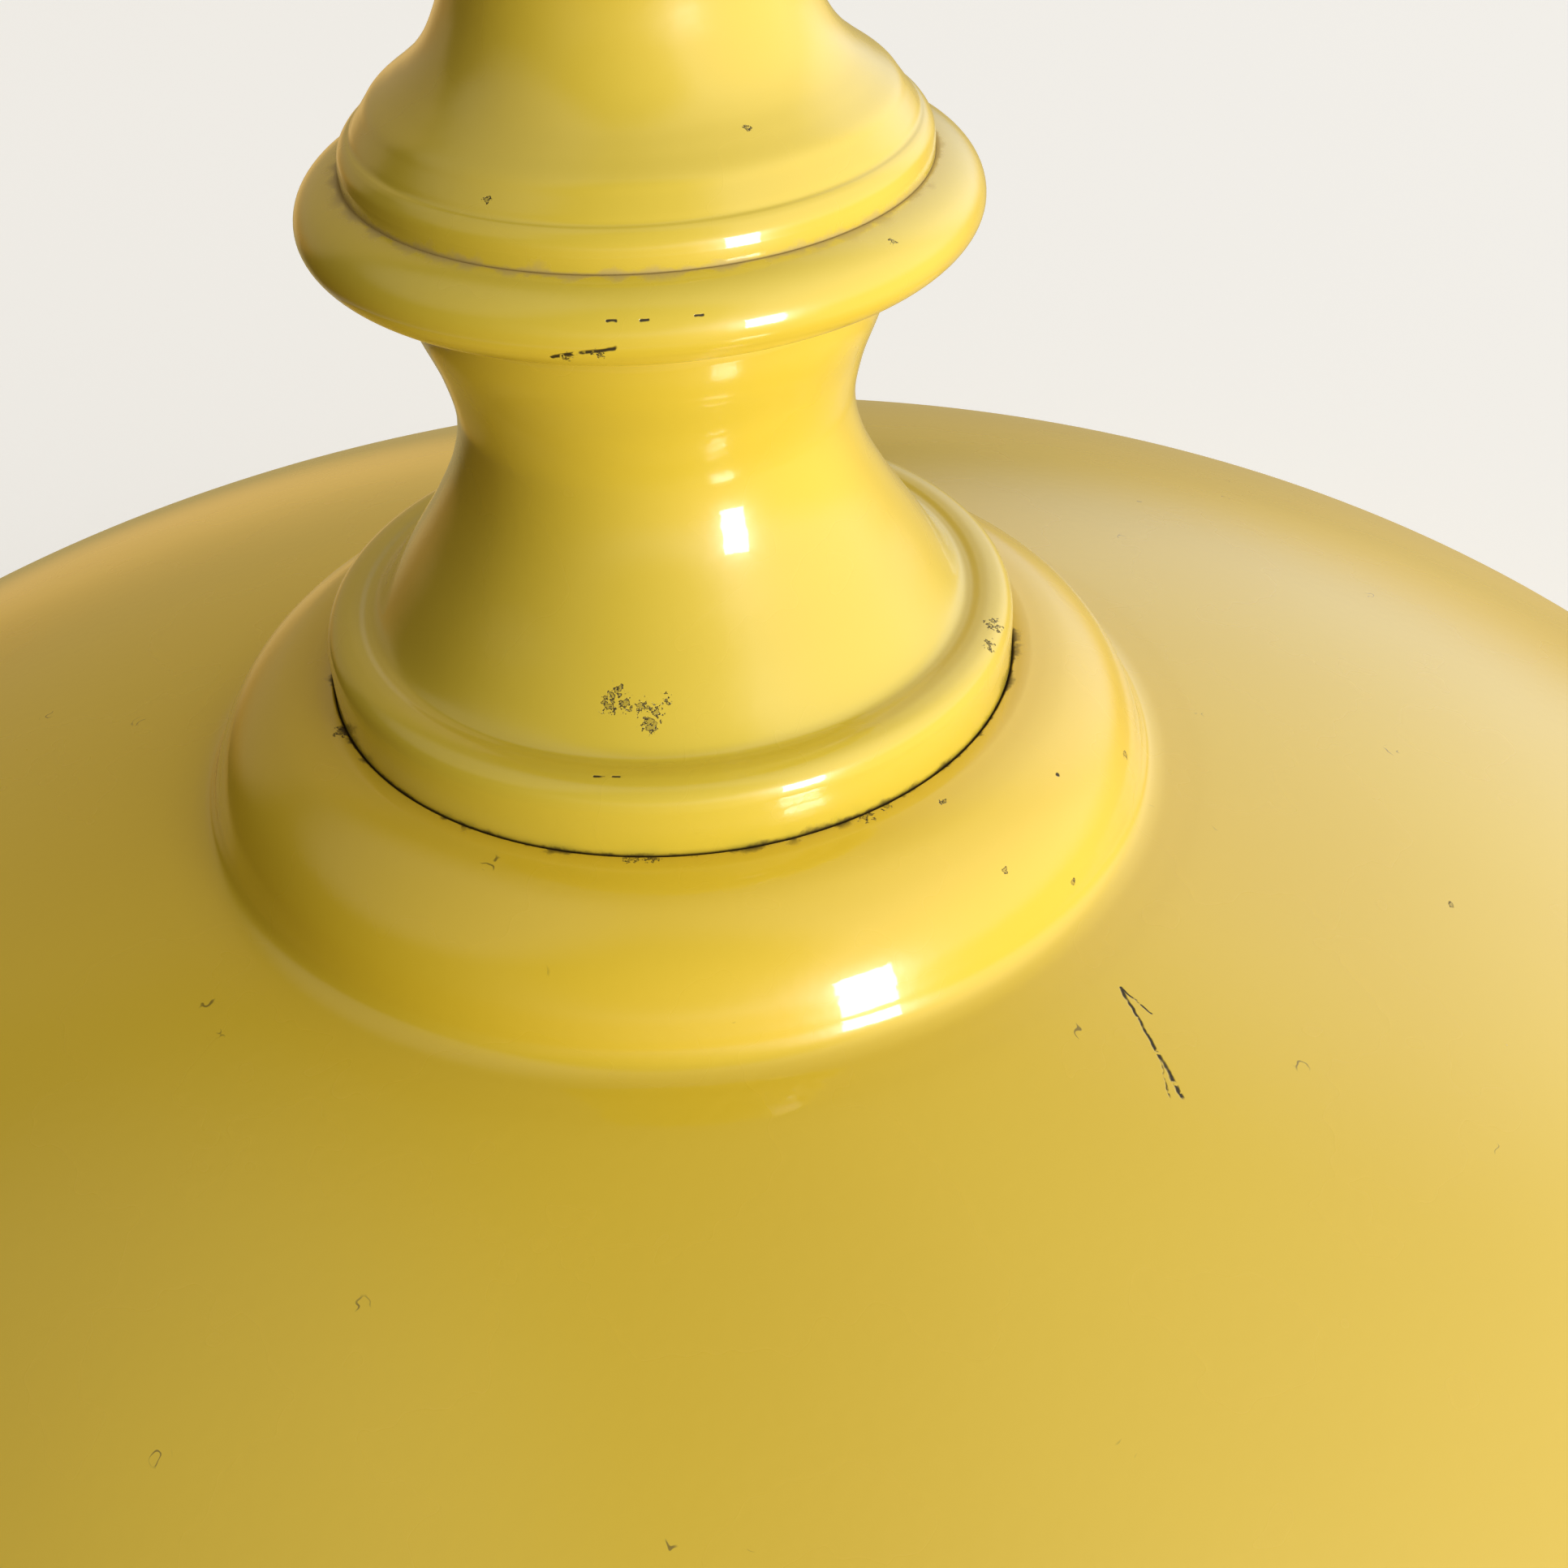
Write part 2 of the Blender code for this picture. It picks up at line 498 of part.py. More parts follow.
def make_holder_shells():
    """The two shells of the lampholder, and the threaded ring that clamps the shade to them."""
    top = HOLDER_CAP_TOP
    turned("holder_cap", [
        (HOLDER_BODY_BORE, HOLDER_CAP_BOTTOM),
        (HOLDER_BODY_RADIUS, HOLDER_CAP_BOTTOM),
        *smooth([
            (HOLDER_BODY_RADIUS, top - 8.0 * MM),
            (HOLDER_BODY_RADIUS - 2.6 * MM, top - 2.4 * MM),
            (BOSS_RADIUS + 1.6 * MM, top + 0.4 * MM),
        ]),
        (BOSS_RADIUS, top + 1.6 * MM),
        (BOSS_RADIUS, BOSS_TOP),
        (STEM_HOLE, BOSS_TOP),
        (STEM_HOLE, top - HOLDER_BODY_WALL),
        (BOSS_RADIUS + 2.0 * MM, top - HOLDER_BODY_WALL),
        (HOLDER_BODY_BORE - 1.4 * MM, top - 5.0 * MM),
        (HOLDER_BODY_BORE, top - 8.0 * MM),
    ], HOLDER_SEGMENTS, "white_bakelite")
    collar = HOLDER_COLLAR_BOTTOM
    turned("holder_skirt", [
        (HOLDER_BORE, HOLDER_MOUTH),
        (HOLDER_THREAD_RADIUS - 1.0 * MM, HOLDER_MOUTH),
        (HOLDER_THREAD_RADIUS, HOLDER_MOUTH + 1.0 * MM),
        (HOLDER_THREAD_RADIUS, collar),
        (HOLDER_BODY_RADIUS + HOLDER_COLLAR_WIDTH, collar),
        (HOLDER_BODY_RADIUS + HOLDER_COLLAR_WIDTH, collar + HOLDER_COLLAR_HEIGHT),
        (HOLDER_BODY_RADIUS, collar + HOLDER_COLLAR_HEIGHT),
        (HOLDER_BODY_RADIUS, INSERT_TOP),
        (HOLDER_BODY_BORE, INSERT_TOP),
        (HOLDER_BODY_BORE, INSERT_BOTTOM - GAP),
        (HOLDER_BORE, INSERT_BOTTOM - GAP),
    ], HOLDER_SEGMENTS, "white_bakelite")
    bore = HOLDER_THREAD_RADIUS + GAP
    body = bore + CLAMP_RING_WALL
    under = CLAMP_RING_TOP - CLAMP_RING_LEDGE_HEIGHT
    turned("clamp_ring", [
        (bore, CLAMP_RING_TOP - CLAMP_RING_HEIGHT),
        (body - 0.8 * MM, CLAMP_RING_TOP - CLAMP_RING_HEIGHT),
        (body, CLAMP_RING_TOP - CLAMP_RING_HEIGHT + 0.8 * MM),
        (body, under),
        (body + CLAMP_RING_LEDGE, under),
        (body + CLAMP_RING_LEDGE, CLAMP_RING_TOP),
        (bore, CLAMP_RING_TOP),
    ], HOLDER_SEGMENTS, "white_bakelite")


def make_holder_contacts():
    """The porcelain insert, its two terminals, the threaded sleeve and the sprung centre contact."""
    insert = HOLDER_BODY_BORE - GAP
    turned("holder_insert", [
        (0.0, INSERT_BOTTOM), (insert, INSERT_BOTTOM), (insert, INSERT_TOP - 0.8 * MM),
        (insert - 0.8 * MM, INSERT_TOP), (0.0, INSERT_TOP),
    ], HOLDER_SEGMENTS, "porcelain")
    for name, x in (("live", -TERMINAL_OFFSET), ("neutral", TERMINAL_OFFSET)):
        make_terminal(name, x)
    levels = thread_levels(SLEEVE_BOTTOM, SLEEVE_TOP)
    sleeve = spun([(SLEEVE_OUTER, SLEEVE_BOTTOM), (SLEEVE_OUTER, SLEEVE_TOP),
                   *((SLEEVE_INNER, z) for z in reversed(levels))], THREAD_SEGMENTS)
    cut_thread(sleeve, SLEEVE_INNER, SLEEVE_BOTTOM, SLEEVE_TOP, -THREAD_DEPTH)
    add_object("contact_sleeve", sleeve, "brass", SEAT_HEIGHT)
    make_tongue()


def make_terminal(name, x):
    """A brass terminal block with a hole for its screw, and the screw."""
    bottom = SEAT_HEIGHT + INSERT_TOP + GAP
    height = TERMINAL_SIZE[2]
    bm = bmesh.new()
    bmesh.ops.create_cube(bm, size=1.0)
    bmesh.ops.scale(bm, vec=TERMINAL_SIZE, verts=bm.verts)
    bmesh.ops.translate(bm, vec=(0.0, 0.0, 0.5 * height), verts=bm.verts)
    block = add_object("terminal_" + name, bm, "brass", bottom, (x, 0.0))
    drill(block, TERMINAL_SCREW_RADIUS + GAP, height, (x, 0.0, bottom + 0.35 * height))
    screw = screw_profile(TERMINAL_SCREW_RADIUS, TERMINAL_SCREW_HEAD, TERMINAL_SCREW_HEAD_HEIGHT,
                          0.4 * height, height + GAP)
    made = turned("terminal_screw_" + name, screw, SCREW_SEGMENTS, "brass", bottom)
    made.location.x = x


def make_tongue():
    """The sprung centre contact. Its object's origin is on the line that it bends about."""
    under = INSERT_BOTTOM - GAP - TONGUE_THICKNESS
    drop = BULB_TIP_TOP + GAP - under
    line = [
        (-TONGUE_TAIL, 0.0),
        (0.0, 0.0),
        (0.45 * TONGUE_REACH, 0.55 * drop),
        (0.85 * TONGUE_REACH, drop),
        (1.15 * TONGUE_REACH, drop),
        (1.3 * TONGUE_REACH, drop + 0.8 * MM),
    ]
    bm = bmesh.new()
    low = [bm.verts.new((x, -0.5 * TONGUE_WIDTH, z)) for x, z in line]
    high = [bm.verts.new((x, -0.5 * TONGUE_WIDTH, z + TONGUE_THICKNESS)) for x, z in line]
    for i in range(len(line) - 1):
        bm.faces.new((low[i], low[i + 1], high[i + 1], high[i]))
    wide = bmesh.ops.extrude_face_region(bm, geom=bm.faces[:])
    moved = [v for v in wide["geom"] if isinstance(v, bmesh.types.BMVert)]
    bmesh.ops.translate(bm, verts=moved, vec=(0, TONGUE_WIDTH, 0))
    add_object("centre_contact", bm, "brass", SEAT_HEIGHT + under, (-TONGUE_REACH, 0.0))


# ---------------------------------------------------------------- bulb


def make_bulb():
    """An opal bulb screwed into the sleeve: glass, threaded cap, insulator and tip contact."""
    inner = THREAD_ROOT - BULB_CAP_WALL
    levels = thread_levels(BULB_CAP_BOTTOM + 2.6 * MM, BULB_CAP_TOP)
    cap = spun([
        (CAP_CREST + 0.2 * MM, BULB_CAP_BOTTOM),
        (THREAD_ROOT + 0.6 * MM, BULB_CAP_BOTTOM + 1.4 * MM),
        *((THREAD_ROOT, z) for z in levels),
        (inner, BULB_CAP_TOP),
        (inner, BULB_CAP_BOTTOM),
    ], THREAD_SEGMENTS)
    cut_thread(cap, THREAD_ROOT, levels[0], levels[-1], THREAD_DEPTH)
    add_object("bulb_cap", cap, "nickel", SEAT_HEIGHT)

    disc = 2.2 * MM
    contact = 4.6 * MM
    tip = BULB_TIP_TOP - 1.6 * MM
    turned("bulb_insulator", [
        (0.0, BULB_CAP_TOP - disc), (inner - GAP, BULB_CAP_TOP - disc), (inner - GAP, BULB_CAP_TOP),
        (contact + 1.0 * MM, tip - GAP), (0.0, tip - GAP),
    ], THREAD_SEGMENTS, "black_glass")
    turned("bulb_tip", [
        (0.0, tip), (contact, tip), (contact, tip + 0.7 * MM),
        (0.6 * contact, BULB_TIP_TOP - 0.3 * MM), (0.25 * contact, BULB_TIP_TOP), (0.0, BULB_TIP_TOP),
    ], SMALL_SEGMENTS, "nickel")

    bottom = BULB_TIP_TOP - BULB_LENGTH
    neck = BULB_CAP_BOTTOM - GAP
    crown = bottom + BULB_RADIUS
    drop = neck - crown
    outer = [
        (inner - GAP, neck + 12.0 * MM),
        (inner - GAP, neck + 0.2 * MM),
        *smooth([
            (CAP_CREST - 0.2 * MM, neck - 0.4 * MM),
            (CAP_CREST + 1.0 * MM, neck - 0.15 * drop),
            (0.63 * BULB_RADIUS, crown + 0.62 * drop),
            (0.86 * BULB_RADIUS, crown + 0.33 * drop),
            (BULB_RADIUS, crown),
        ]),
        *arc((0.0, crown), (BULB_RADIUS, BULB_RADIUS), -0.25, -1.35, 5),
    ]
    inside = offset(outer, GLASS_WALL)
    turned("bulb_glass", [(0.0, bottom), *reversed(outer), *inside, (0.0, bottom + GLASS_WALL)],
           HOLDER_SEGMENTS, "opal_glass")


# ---------------------------------------------------------------- scene


def make_materials():
    for name, (colour, roughness, metallic) in MATERIALS.items():
        material = bpy.data.materials.new(name)
        material.use_nodes = True
        shader = material.node_tree.nodes["Principled BSDF"]
        shader.inputs["Base Color"].default_value = (*colour, 1.0)
        shader.inputs["Roughness"].default_value = roughness
        shader.inputs["Metallic"].default_value = metallic


def main():
    for old in list(bpy.data.objects):
        bpy.data.objects.remove(old)
    make_materials()
    make_shade()
    make_spool()
    make_ring()
    make_bell()
    make_cap()
    make_stem()
    make_gland()
    make_holder_shells()
    make_holder_contacts()
    make_bulb()


main()
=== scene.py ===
"""A lacquered pendant lamp: spun dome shade, turned crown, E27 lampholder and opal bulb.

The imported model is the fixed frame. Each operator below makes one piece or one group of like
pieces in mesh code, gives it its finish and puts it on the frame in place of its plain node.
Profiles are lists of (radius, height) in millimetres, with heights from the seat, the plane of
the collar that the crown stands in.
"""

import json
import math

import bmesh
import bpy
import numpy as np
from bpy.props import FloatProperty, FloatVectorProperty, PointerProperty
from mathutils import Matrix, Vector


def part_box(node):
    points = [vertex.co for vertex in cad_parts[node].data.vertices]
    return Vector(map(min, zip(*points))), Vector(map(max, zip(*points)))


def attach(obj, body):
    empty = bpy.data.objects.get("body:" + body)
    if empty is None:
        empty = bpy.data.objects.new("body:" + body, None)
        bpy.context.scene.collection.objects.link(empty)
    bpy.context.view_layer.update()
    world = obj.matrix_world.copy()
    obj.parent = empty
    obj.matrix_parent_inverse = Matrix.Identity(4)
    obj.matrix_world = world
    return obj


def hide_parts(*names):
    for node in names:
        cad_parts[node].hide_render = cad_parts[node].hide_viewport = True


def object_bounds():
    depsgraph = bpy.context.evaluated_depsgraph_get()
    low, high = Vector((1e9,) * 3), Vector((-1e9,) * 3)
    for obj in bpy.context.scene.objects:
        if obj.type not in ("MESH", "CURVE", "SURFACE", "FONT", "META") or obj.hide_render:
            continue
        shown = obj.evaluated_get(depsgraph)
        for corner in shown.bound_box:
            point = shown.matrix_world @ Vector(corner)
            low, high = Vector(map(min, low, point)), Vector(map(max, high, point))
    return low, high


bl_info = {
    "name": "Pendant Lamp",
    "version": (1, 0, 0),
    "blender": (4, 5, 0),
    "location": "3D View > Sidebar > Pendant Lamp",
    "description": "Builds a lacquered pendant lamp piece by piece",
    "category": "Add Mesh",
}

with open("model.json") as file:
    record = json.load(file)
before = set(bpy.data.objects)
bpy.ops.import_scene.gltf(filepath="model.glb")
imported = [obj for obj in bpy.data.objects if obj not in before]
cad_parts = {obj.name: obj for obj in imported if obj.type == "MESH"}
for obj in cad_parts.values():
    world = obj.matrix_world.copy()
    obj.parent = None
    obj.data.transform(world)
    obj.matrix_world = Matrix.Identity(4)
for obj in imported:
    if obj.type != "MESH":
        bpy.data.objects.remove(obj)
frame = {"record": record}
FRAME_BOX = [list(corner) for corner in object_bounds()]

MM = 0.001
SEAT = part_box("shade")[1].z  # the height of the collar's seat, in metres
FINE, MEDIUM, COARSE = 256, 160, 64  # steps round the axis
SHARP = math.radians(38)  # edges that turn by more stay sharp

# in millimetres
PITCH, STEM_PITCH = 25.4 / 7, 1.0  # of the E27 thread and of the rod's thread
SHADE_HOLE, STEM_HOLE = 21.0, 5.3  # radii
SEAT_DEPTH = 1.6
STEM_WALL = 1.3

DONE, UNDOABLE = {"FINISHED"}, {"REGISTER", "UNDO"}  # for the operators


def frame_radius(node):
    """The outer radius of a turned node, in metres."""
    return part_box(node)[1].x


def span(node):
    """The heights of a node's bottom and top over the seat, in millimetres."""
    low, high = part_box(node)
    return (low.z - SEAT) / MM, (high.z - SEAT) / MM


# ---------------------------------------------------------------- sizes and colours


def length(name, default, description):
    return FloatProperty(name=name, default=default, min=0.0, unit="LENGTH", description=description)


def colour(name, default, description):
    return FloatVectorProperty(name=name, default=default, size=3, subtype="COLOR", min=0.0, max=1.0,
                               description=description)


def share(name, default, description, high=1.0):
    return FloatProperty(name=name, default=default, min=0.0, max=high, description=description)


def angle(name, default, description):
    return FloatProperty(name=name, default=math.radians(default), subtype="ANGLE", description=description)


class PendantSizes(bpy.types.PropertyGroup):
    """Sizes of the lamp's visible pieces."""

    shade_radius: length("Shade radius", frame_radius("shade"), "Outer radius of the rolled rim")
    dome_radius: length("Dome radius", 0.405, "Radius of the sphere that the dome is part of")
    shoulder_radius: length("Shoulder radius", 0.045, "Radius of the turn from dome to skirt")
    skirt_length: length("Skirt length", 0.012, "Straight wall between shoulder and rim")
    rim: length("Rim", 0.004, "Thickness of the rolled rim")
    sheet: length("Sheet", 0.001, "Thickness of the spun metal")
    collar_radius: length("Collar radius", 0.0693, "Radius of the collar's step")
    collar_drop: length("Collar drop", 0.0175, "Height of the collar's step over the dome")
    seam: length("Seam", 0.00025, "Gap round the crown's foot")
    foot_radius: length("Foot radius", frame_radius("crown_spool"), "Radius of the crown's foot")
    waist_radius: length("Waist radius", 0.0272, "Narrowest radius of the spool")
    ring_radius: length("Ring radius", frame_radius("crown_ring"), "Outer radius of the beaded ring")
    bell_radius: length("Bell radius", frame_radius("crown_bell"), "Radius of the bell's lip")
    bell_top_radius: length("Bell top radius", 0.0204, "Radius of the bell where the cap sits")
    bead_radius: length("Cap bead radius", 0.0029, "Radius of the bead round the cap")
    bulb_radius: length("Bulb radius", frame_radius("bulb_glass"), "Radius of the glass")
    thread_depth: length("Thread depth", 0.00095, "Depth of the lampholder's E27 thread")


class PendantFinish(bpy.types.PropertyGroup):
    """Colours and wear of the lamp's finishes."""

    lacquer: colour("Lacquer", (0.77, 0.55, 0.03), "Yellow of the lacquered metal")
    crown: colour("Crown lacquer", (0.71, 0.55, 0.05), "Slightly paler yellow of the turned crown")
    inside: colour("Inside", (0.82, 0.80, 0.74), "White enamel inside the shade")
    bare: colour("Bare metal", (0.030, 0.021, 0.005), "Darkened metal where the lacquer has chipped")
    grime: colour("Grime", (0.075, 0.048, 0.009), "Dirt that gathers in the seams")
    dust: colour("Dust", (0.52, 0.40, 0.16), "Pale dust in the creases")
    gloss: share("Gloss", 0.9, "Strength of the clear top layer")
    peel: share("Orange peel", 0.04, "Depth of the fine waviness of sprayed lacquer")
    wear: share("Wear", 1.0, "How much of the chipping and scratching shows", 2.0)
    zinc: colour("Zinc", (0.60, 0.60, 0.58), "Zinc plating of the rod, nuts and washers")
    brass: colour("Brass", (0.78, 0.57, 0.25), "Brass of the sleeve, terminals and contact")
    nickel: colour("Nickel", (0.72, 0.70, 0.66), "Nickel plating of the bulb's cap")
    nylon: colour("Nylon", (0.84, 0.82, 0.76), "Natural nylon of the cord gland")
    bakelite: colour("White bakelite", (0.80, 0.77, 0.69), "White moulded plastic of the lampholder")
    porcelain: colour("Porcelain", (0.86, 0.85, 0.80), "Glazed insert of the lampholder")
    opal: colour("Opal glass", (0.92, 0.91, 0.87), "Glass of the bulb")
    black_glass: colour("Black glass", (0.02, 0.02, 0.024), "Insulator in the bulb's cap")


class PendantStage(bpy.types.PropertyGroup):
    """Camera and light."""

    camera_distance: length("Camera distance", 0.3199, "From the camera to the point it looks at")
    camera_aim_side: length("Aim to the side", 0.0156, "How far right of the axis the camera looks")
    camera_aim_drop: length("Aim below the seat", 0.02845, "How far below the seat the camera looks")
    camera_height: angle("Camera elevation", 38.13, "Angle of the view above the floor")
    camera_roll: angle("Camera roll", -2.0, "Turn of the camera about its own axis")
    lens: FloatProperty(name="Lens", default=46.6, min=10.0, description="Focal length in millimetres")
    window: FloatProperty(name="Window", default=29.0, min=0.0, description="Power of the window light")
    bright: colour("Bright side", (1.0, 0.985, 0.95), "Colour of the room on the window's side")
    bright_level: FloatProperty(name="Bright side level", default=1.4, min=0.0, description="Its radiance")
    dim: colour("Dim side", (0.05, 0.037, 0.015), "Colour of the room on the other side")
    floor: colour("Floor", (0.86, 0.86, 0.85), "Colour of the floor")


def sizes():
    return bpy.context.scene.pendant_sizes


def finish():
    return bpy.context.scene.pendant_finish


# ---------------------------------------------------------------- profiles


def curve(points, steps=10):
    """A smooth line through the points: on each span a cubic whose slope at either end is half
    the step between that end's two neighbours."""
    p = np.asarray(points, float)
    p = np.vstack([2 * p[0] - p[1], p, 2 * p[-1] - p[-2]])
    t = np.linspace(0, 1, steps, endpoint=False)[:, None, None]
    a, b, c, d = p[:-3], p[1:-2], p[2:-1], p[3:]
    spans = 0.5 * (2 * b + (c - a) * t + (2 * a - 5 * b + 4 * c - d) * t**2 + (3 * b - a - 3 * c + d) * t**3)
    return np.vstack([spans.transpose(1, 0, 2).reshape(-1, 2), p[-2]])


def arc(centre, radii, start, end, steps=16):
    """Points centre + radii * (cos t, sin t), with t from start to end in degrees."""
    t = np.radians(np.linspace(start, end, steps + 1))[:, None]
    return np.asarray(centre) + np.asarray(radii) * np.hstack([np.cos(t), np.sin(t)])


def rounded(corners, reach=0.4, steps=4):
    """A closed line of straight runs whose corners are parabolas that begin and end at this reach
    from the corner, or at 0.45 of a shorter side."""
    p = np.asarray(corners, float)
    sides = [np.roll(p, 1, 0) - p, np.roll(p, -1, 0) - p]
    sizes_ = [np.linalg.norm(side, axis=1, keepdims=True) for side in sides]
    a, b = (p + side / size * np.minimum(reach, 0.45 * size) for side, size in zip(sides, sizes_))
    t = np.linspace(0, 1, steps + 1)[:, None, None]
    found = (1 - t) ** 2 * a + 2 * t * (1 - t) * p + t**2 * b
    return found.transpose(1, 0, 2).reshape(-1, 2)


def spaced(line, step):
    """The same line with a point about every step along it."""
    line = np.asarray(line, float)
    along = np.concatenate([[0], np.cumsum(np.linalg.norm(np.diff(line, axis=0), axis=1))])
    at = np.union1d(along, np.linspace(0, along[-1], max(2, int(along[-1] / step))))
    return np.stack([np.interp(at, along, line[:, k]) for k in (0, 1)], 1)


def beside(line, distance):
    """The line moved sideways to the right of its direction by the distance."""
    way = np.gradient(line, axis=0)
    way /= np.linalg.norm(way, axis=1, keepdims=True)
    return line + distance * np.stack([way[:, 1], -way[:, 0]], 1)


def shell(outer, wall):
    """A closed profile: the outer face, from the axis outwards and down, and the face a wall inside it."""
    return np.vstack([outer, beside(outer, wall)[::-1]])


# ---------------------------------------------------------------- surfaces


def ridge(low, high, pitch, depth, fade=0.3):
    """A shaper for lathe(): a right-hand thread between two heights. The radius gains depth times
    half of 1 + cos(2 pi z / pitch - angle), faded over a share of a pitch at either end. A negative
    depth gives an inner thread, in step with the outer one."""

    def shape(radius, height, turn):
        share_ = np.clip(np.minimum(height - low, high - height) / (fade * pitch), 0, 1)
        wave = np.cos(2 * np.pi * height / pitch - turn)
        return radius + 0.5 * share_ * (depth + abs(depth) * wave), height

    return shape


def is_reversed(line):
    """True if a closed profile runs clockwise, by the sign of its area."""
    following = np.roll(line, -1, 0)
    return np.sum(line[:, 0] * following[:, 1] - following[:, 0] * line[:, 1]) < 0


def lathe(profile, steps, shape=None, where=None):
    """The grid of a profile carried once round Z: the point (r, z) at angle a is
    (r cos a, r sin a, z), and shape(r, z, a) may change r and z first. where, a mask over the
    profile, picks the points that shape acts on. Returns points and four-sided faces, which
    point away from the profile's inside."""
    line = np.asarray(profile, float)
    if is_reversed(line):
        line = line[::-1]
        where = None if where is None else where[::-1]
    turn = np.linspace(0, 2 * np.pi, steps, endpoint=False)[None, :]
    radius, height = (np.repeat(line[:, k:k + 1], steps, 1) for k in (0, 1))
    if shape:
        new_radius, new_height = shape(radius, height, turn)
        mask = np.ones(len(line), bool) if where is None else where
        radius = np.where(mask[:, None], new_radius, radius)
        height = np.where(mask[:, None], new_height, height)
    points = np.stack([radius * np.cos(turn), radius * np.sin(turn), height], -1)
    i, j = np.meshgrid(np.arange(len(line)), np.arange(steps), indexing="ij")
    k, m = (i + 1) % len(line), (j + 1) % steps
    faces = np.stack([i * steps + j, i * steps + m, k * steps + m, k * steps + j], -1)
    return points.reshape(-1, 3), faces.reshape(-1, 4)


def add_piece(name, points, faces, materials, node, inner=None, closed=False):
    """Makes a mesh piece in place on the frame. points are in millimetres from the seat's centre.
    Where the grid closes up in a pole, on the axis or as closed says, its points are merged. inner
    is a mask over the faces that take the second material."""
    mesh = bpy.data.meshes.new(name)
    mesh.from_pydata(points * MM + np.array([0, 0, SEAT]), [], faces)
    for material in materials:
        mesh.materials.append(material)
    if inner is not None:
        mesh.polygons.foreach_set("material_index", inner.astype(np.int32))
    made = bpy.data.objects.new(name, mesh)
    bpy.context.scene.collection.objects.link(made)
    if closed or np.min(np.hypot(points[:, 0], points[:, 1])) < 1e-6:
        close_poles(mesh)
    mesh.shade_smooth()
    mesh.set_sharp_from_angle(angle=SHARP)
    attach(made, body_of(node))
    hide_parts(node)
    return made


def close_poles(mesh):
    """Merges the points that lie together on an axis, and turns the faces outwards."""
    bm = bmesh.new()
    bm.from_mesh(mesh)
    bmesh.ops.remove_doubles(bm, verts=bm.verts, dist=1e-7)
    bmesh.ops.recalc_face_normals(bm, faces=bm.faces)
    bm.to_mesh(mesh)
    bm.free()


def body_of(node):
    """The body that a node of the frame belongs to."""
    bodies = frame["record"]["behaviour"]["bodies"]
    return next(body for body, nodes in bodies.items() if node in nodes)


def turned(name, profile, steps, material, node, shape=None, where=None):
    """A turned piece of one material that stands for its node on the frame."""
    points, faces = lathe(profile, steps, shape, where)
    return add_piece(name, points, faces, [material], node)


# ---------------------------------------------------------------- material parts


class Tree:
    """A node tree, with short calls for the nodes that the finishes and the room use."""

    def __init__(self, tree):
        self.tree = tree

    def join(self, value, socket):
        """Links an output to a socket, or sets the socket's own value."""
        if isinstance(value, bpy.types.NodeSocket):
            self.tree.links.new(value, socket)
        elif socket.type == "RGBA":
            socket.default_value = (*value[:3], 1.0)
        else:
            socket.default_value = value

    def make(self, kind, inputs, output=0, **settings):
        """A node with these settings, and its inputs joined in order or by name. An input of None
        is left as it is."""
        node = self.tree.nodes.new("ShaderNode" + kind)
        for key, value in settings.items():
            setattr(node, key, value)
        for key, value in (inputs.items() if isinstance(inputs, dict) else enumerate(inputs)):
            if value is not None:
                self.join(value, node.inputs[key])
        return node.outputs[output]

    def math(self, operation, *values):
        return self.make("Math", values, operation=operation)

    def vector(self, operation, *values, output=0):
        return self.make("VectorMath", values, output, operation=operation)

    def noise(self, scale, detail=2.0, rough=0.5, place=None, output=0):
        inputs = {"Vector": place or self.place, "Scale": scale, "Detail": detail, "Roughness": rough}
        return self.make("TexNoise", inputs, output)

    def ramp(self, value, low, high, to_low=0.0, to_high=1.0, smooth=True):
        """value carried from the range low..high to to_low..to_high, and held there outside it."""
        inputs = {"Value": value, "From Min": low, "From Max": high, "To Min": to_low, "To Max": to_high}
        return self.make("MapRange", inputs, interpolation_type="SMOOTHSTEP" if smooth else "LINEAR")

    def blend(self, share_, low, high):
        """A colour between low and high."""
        return self.make("Mix", {0: share_, 6: low, 7: high}, output=2, data_type="RGBA")

    def bump(self, height, strength, distance, normal=None):
        inputs = {"Strength": strength, "Distance": distance, "Height": height, "Normal": normal}
        return self.make("Bump", inputs)


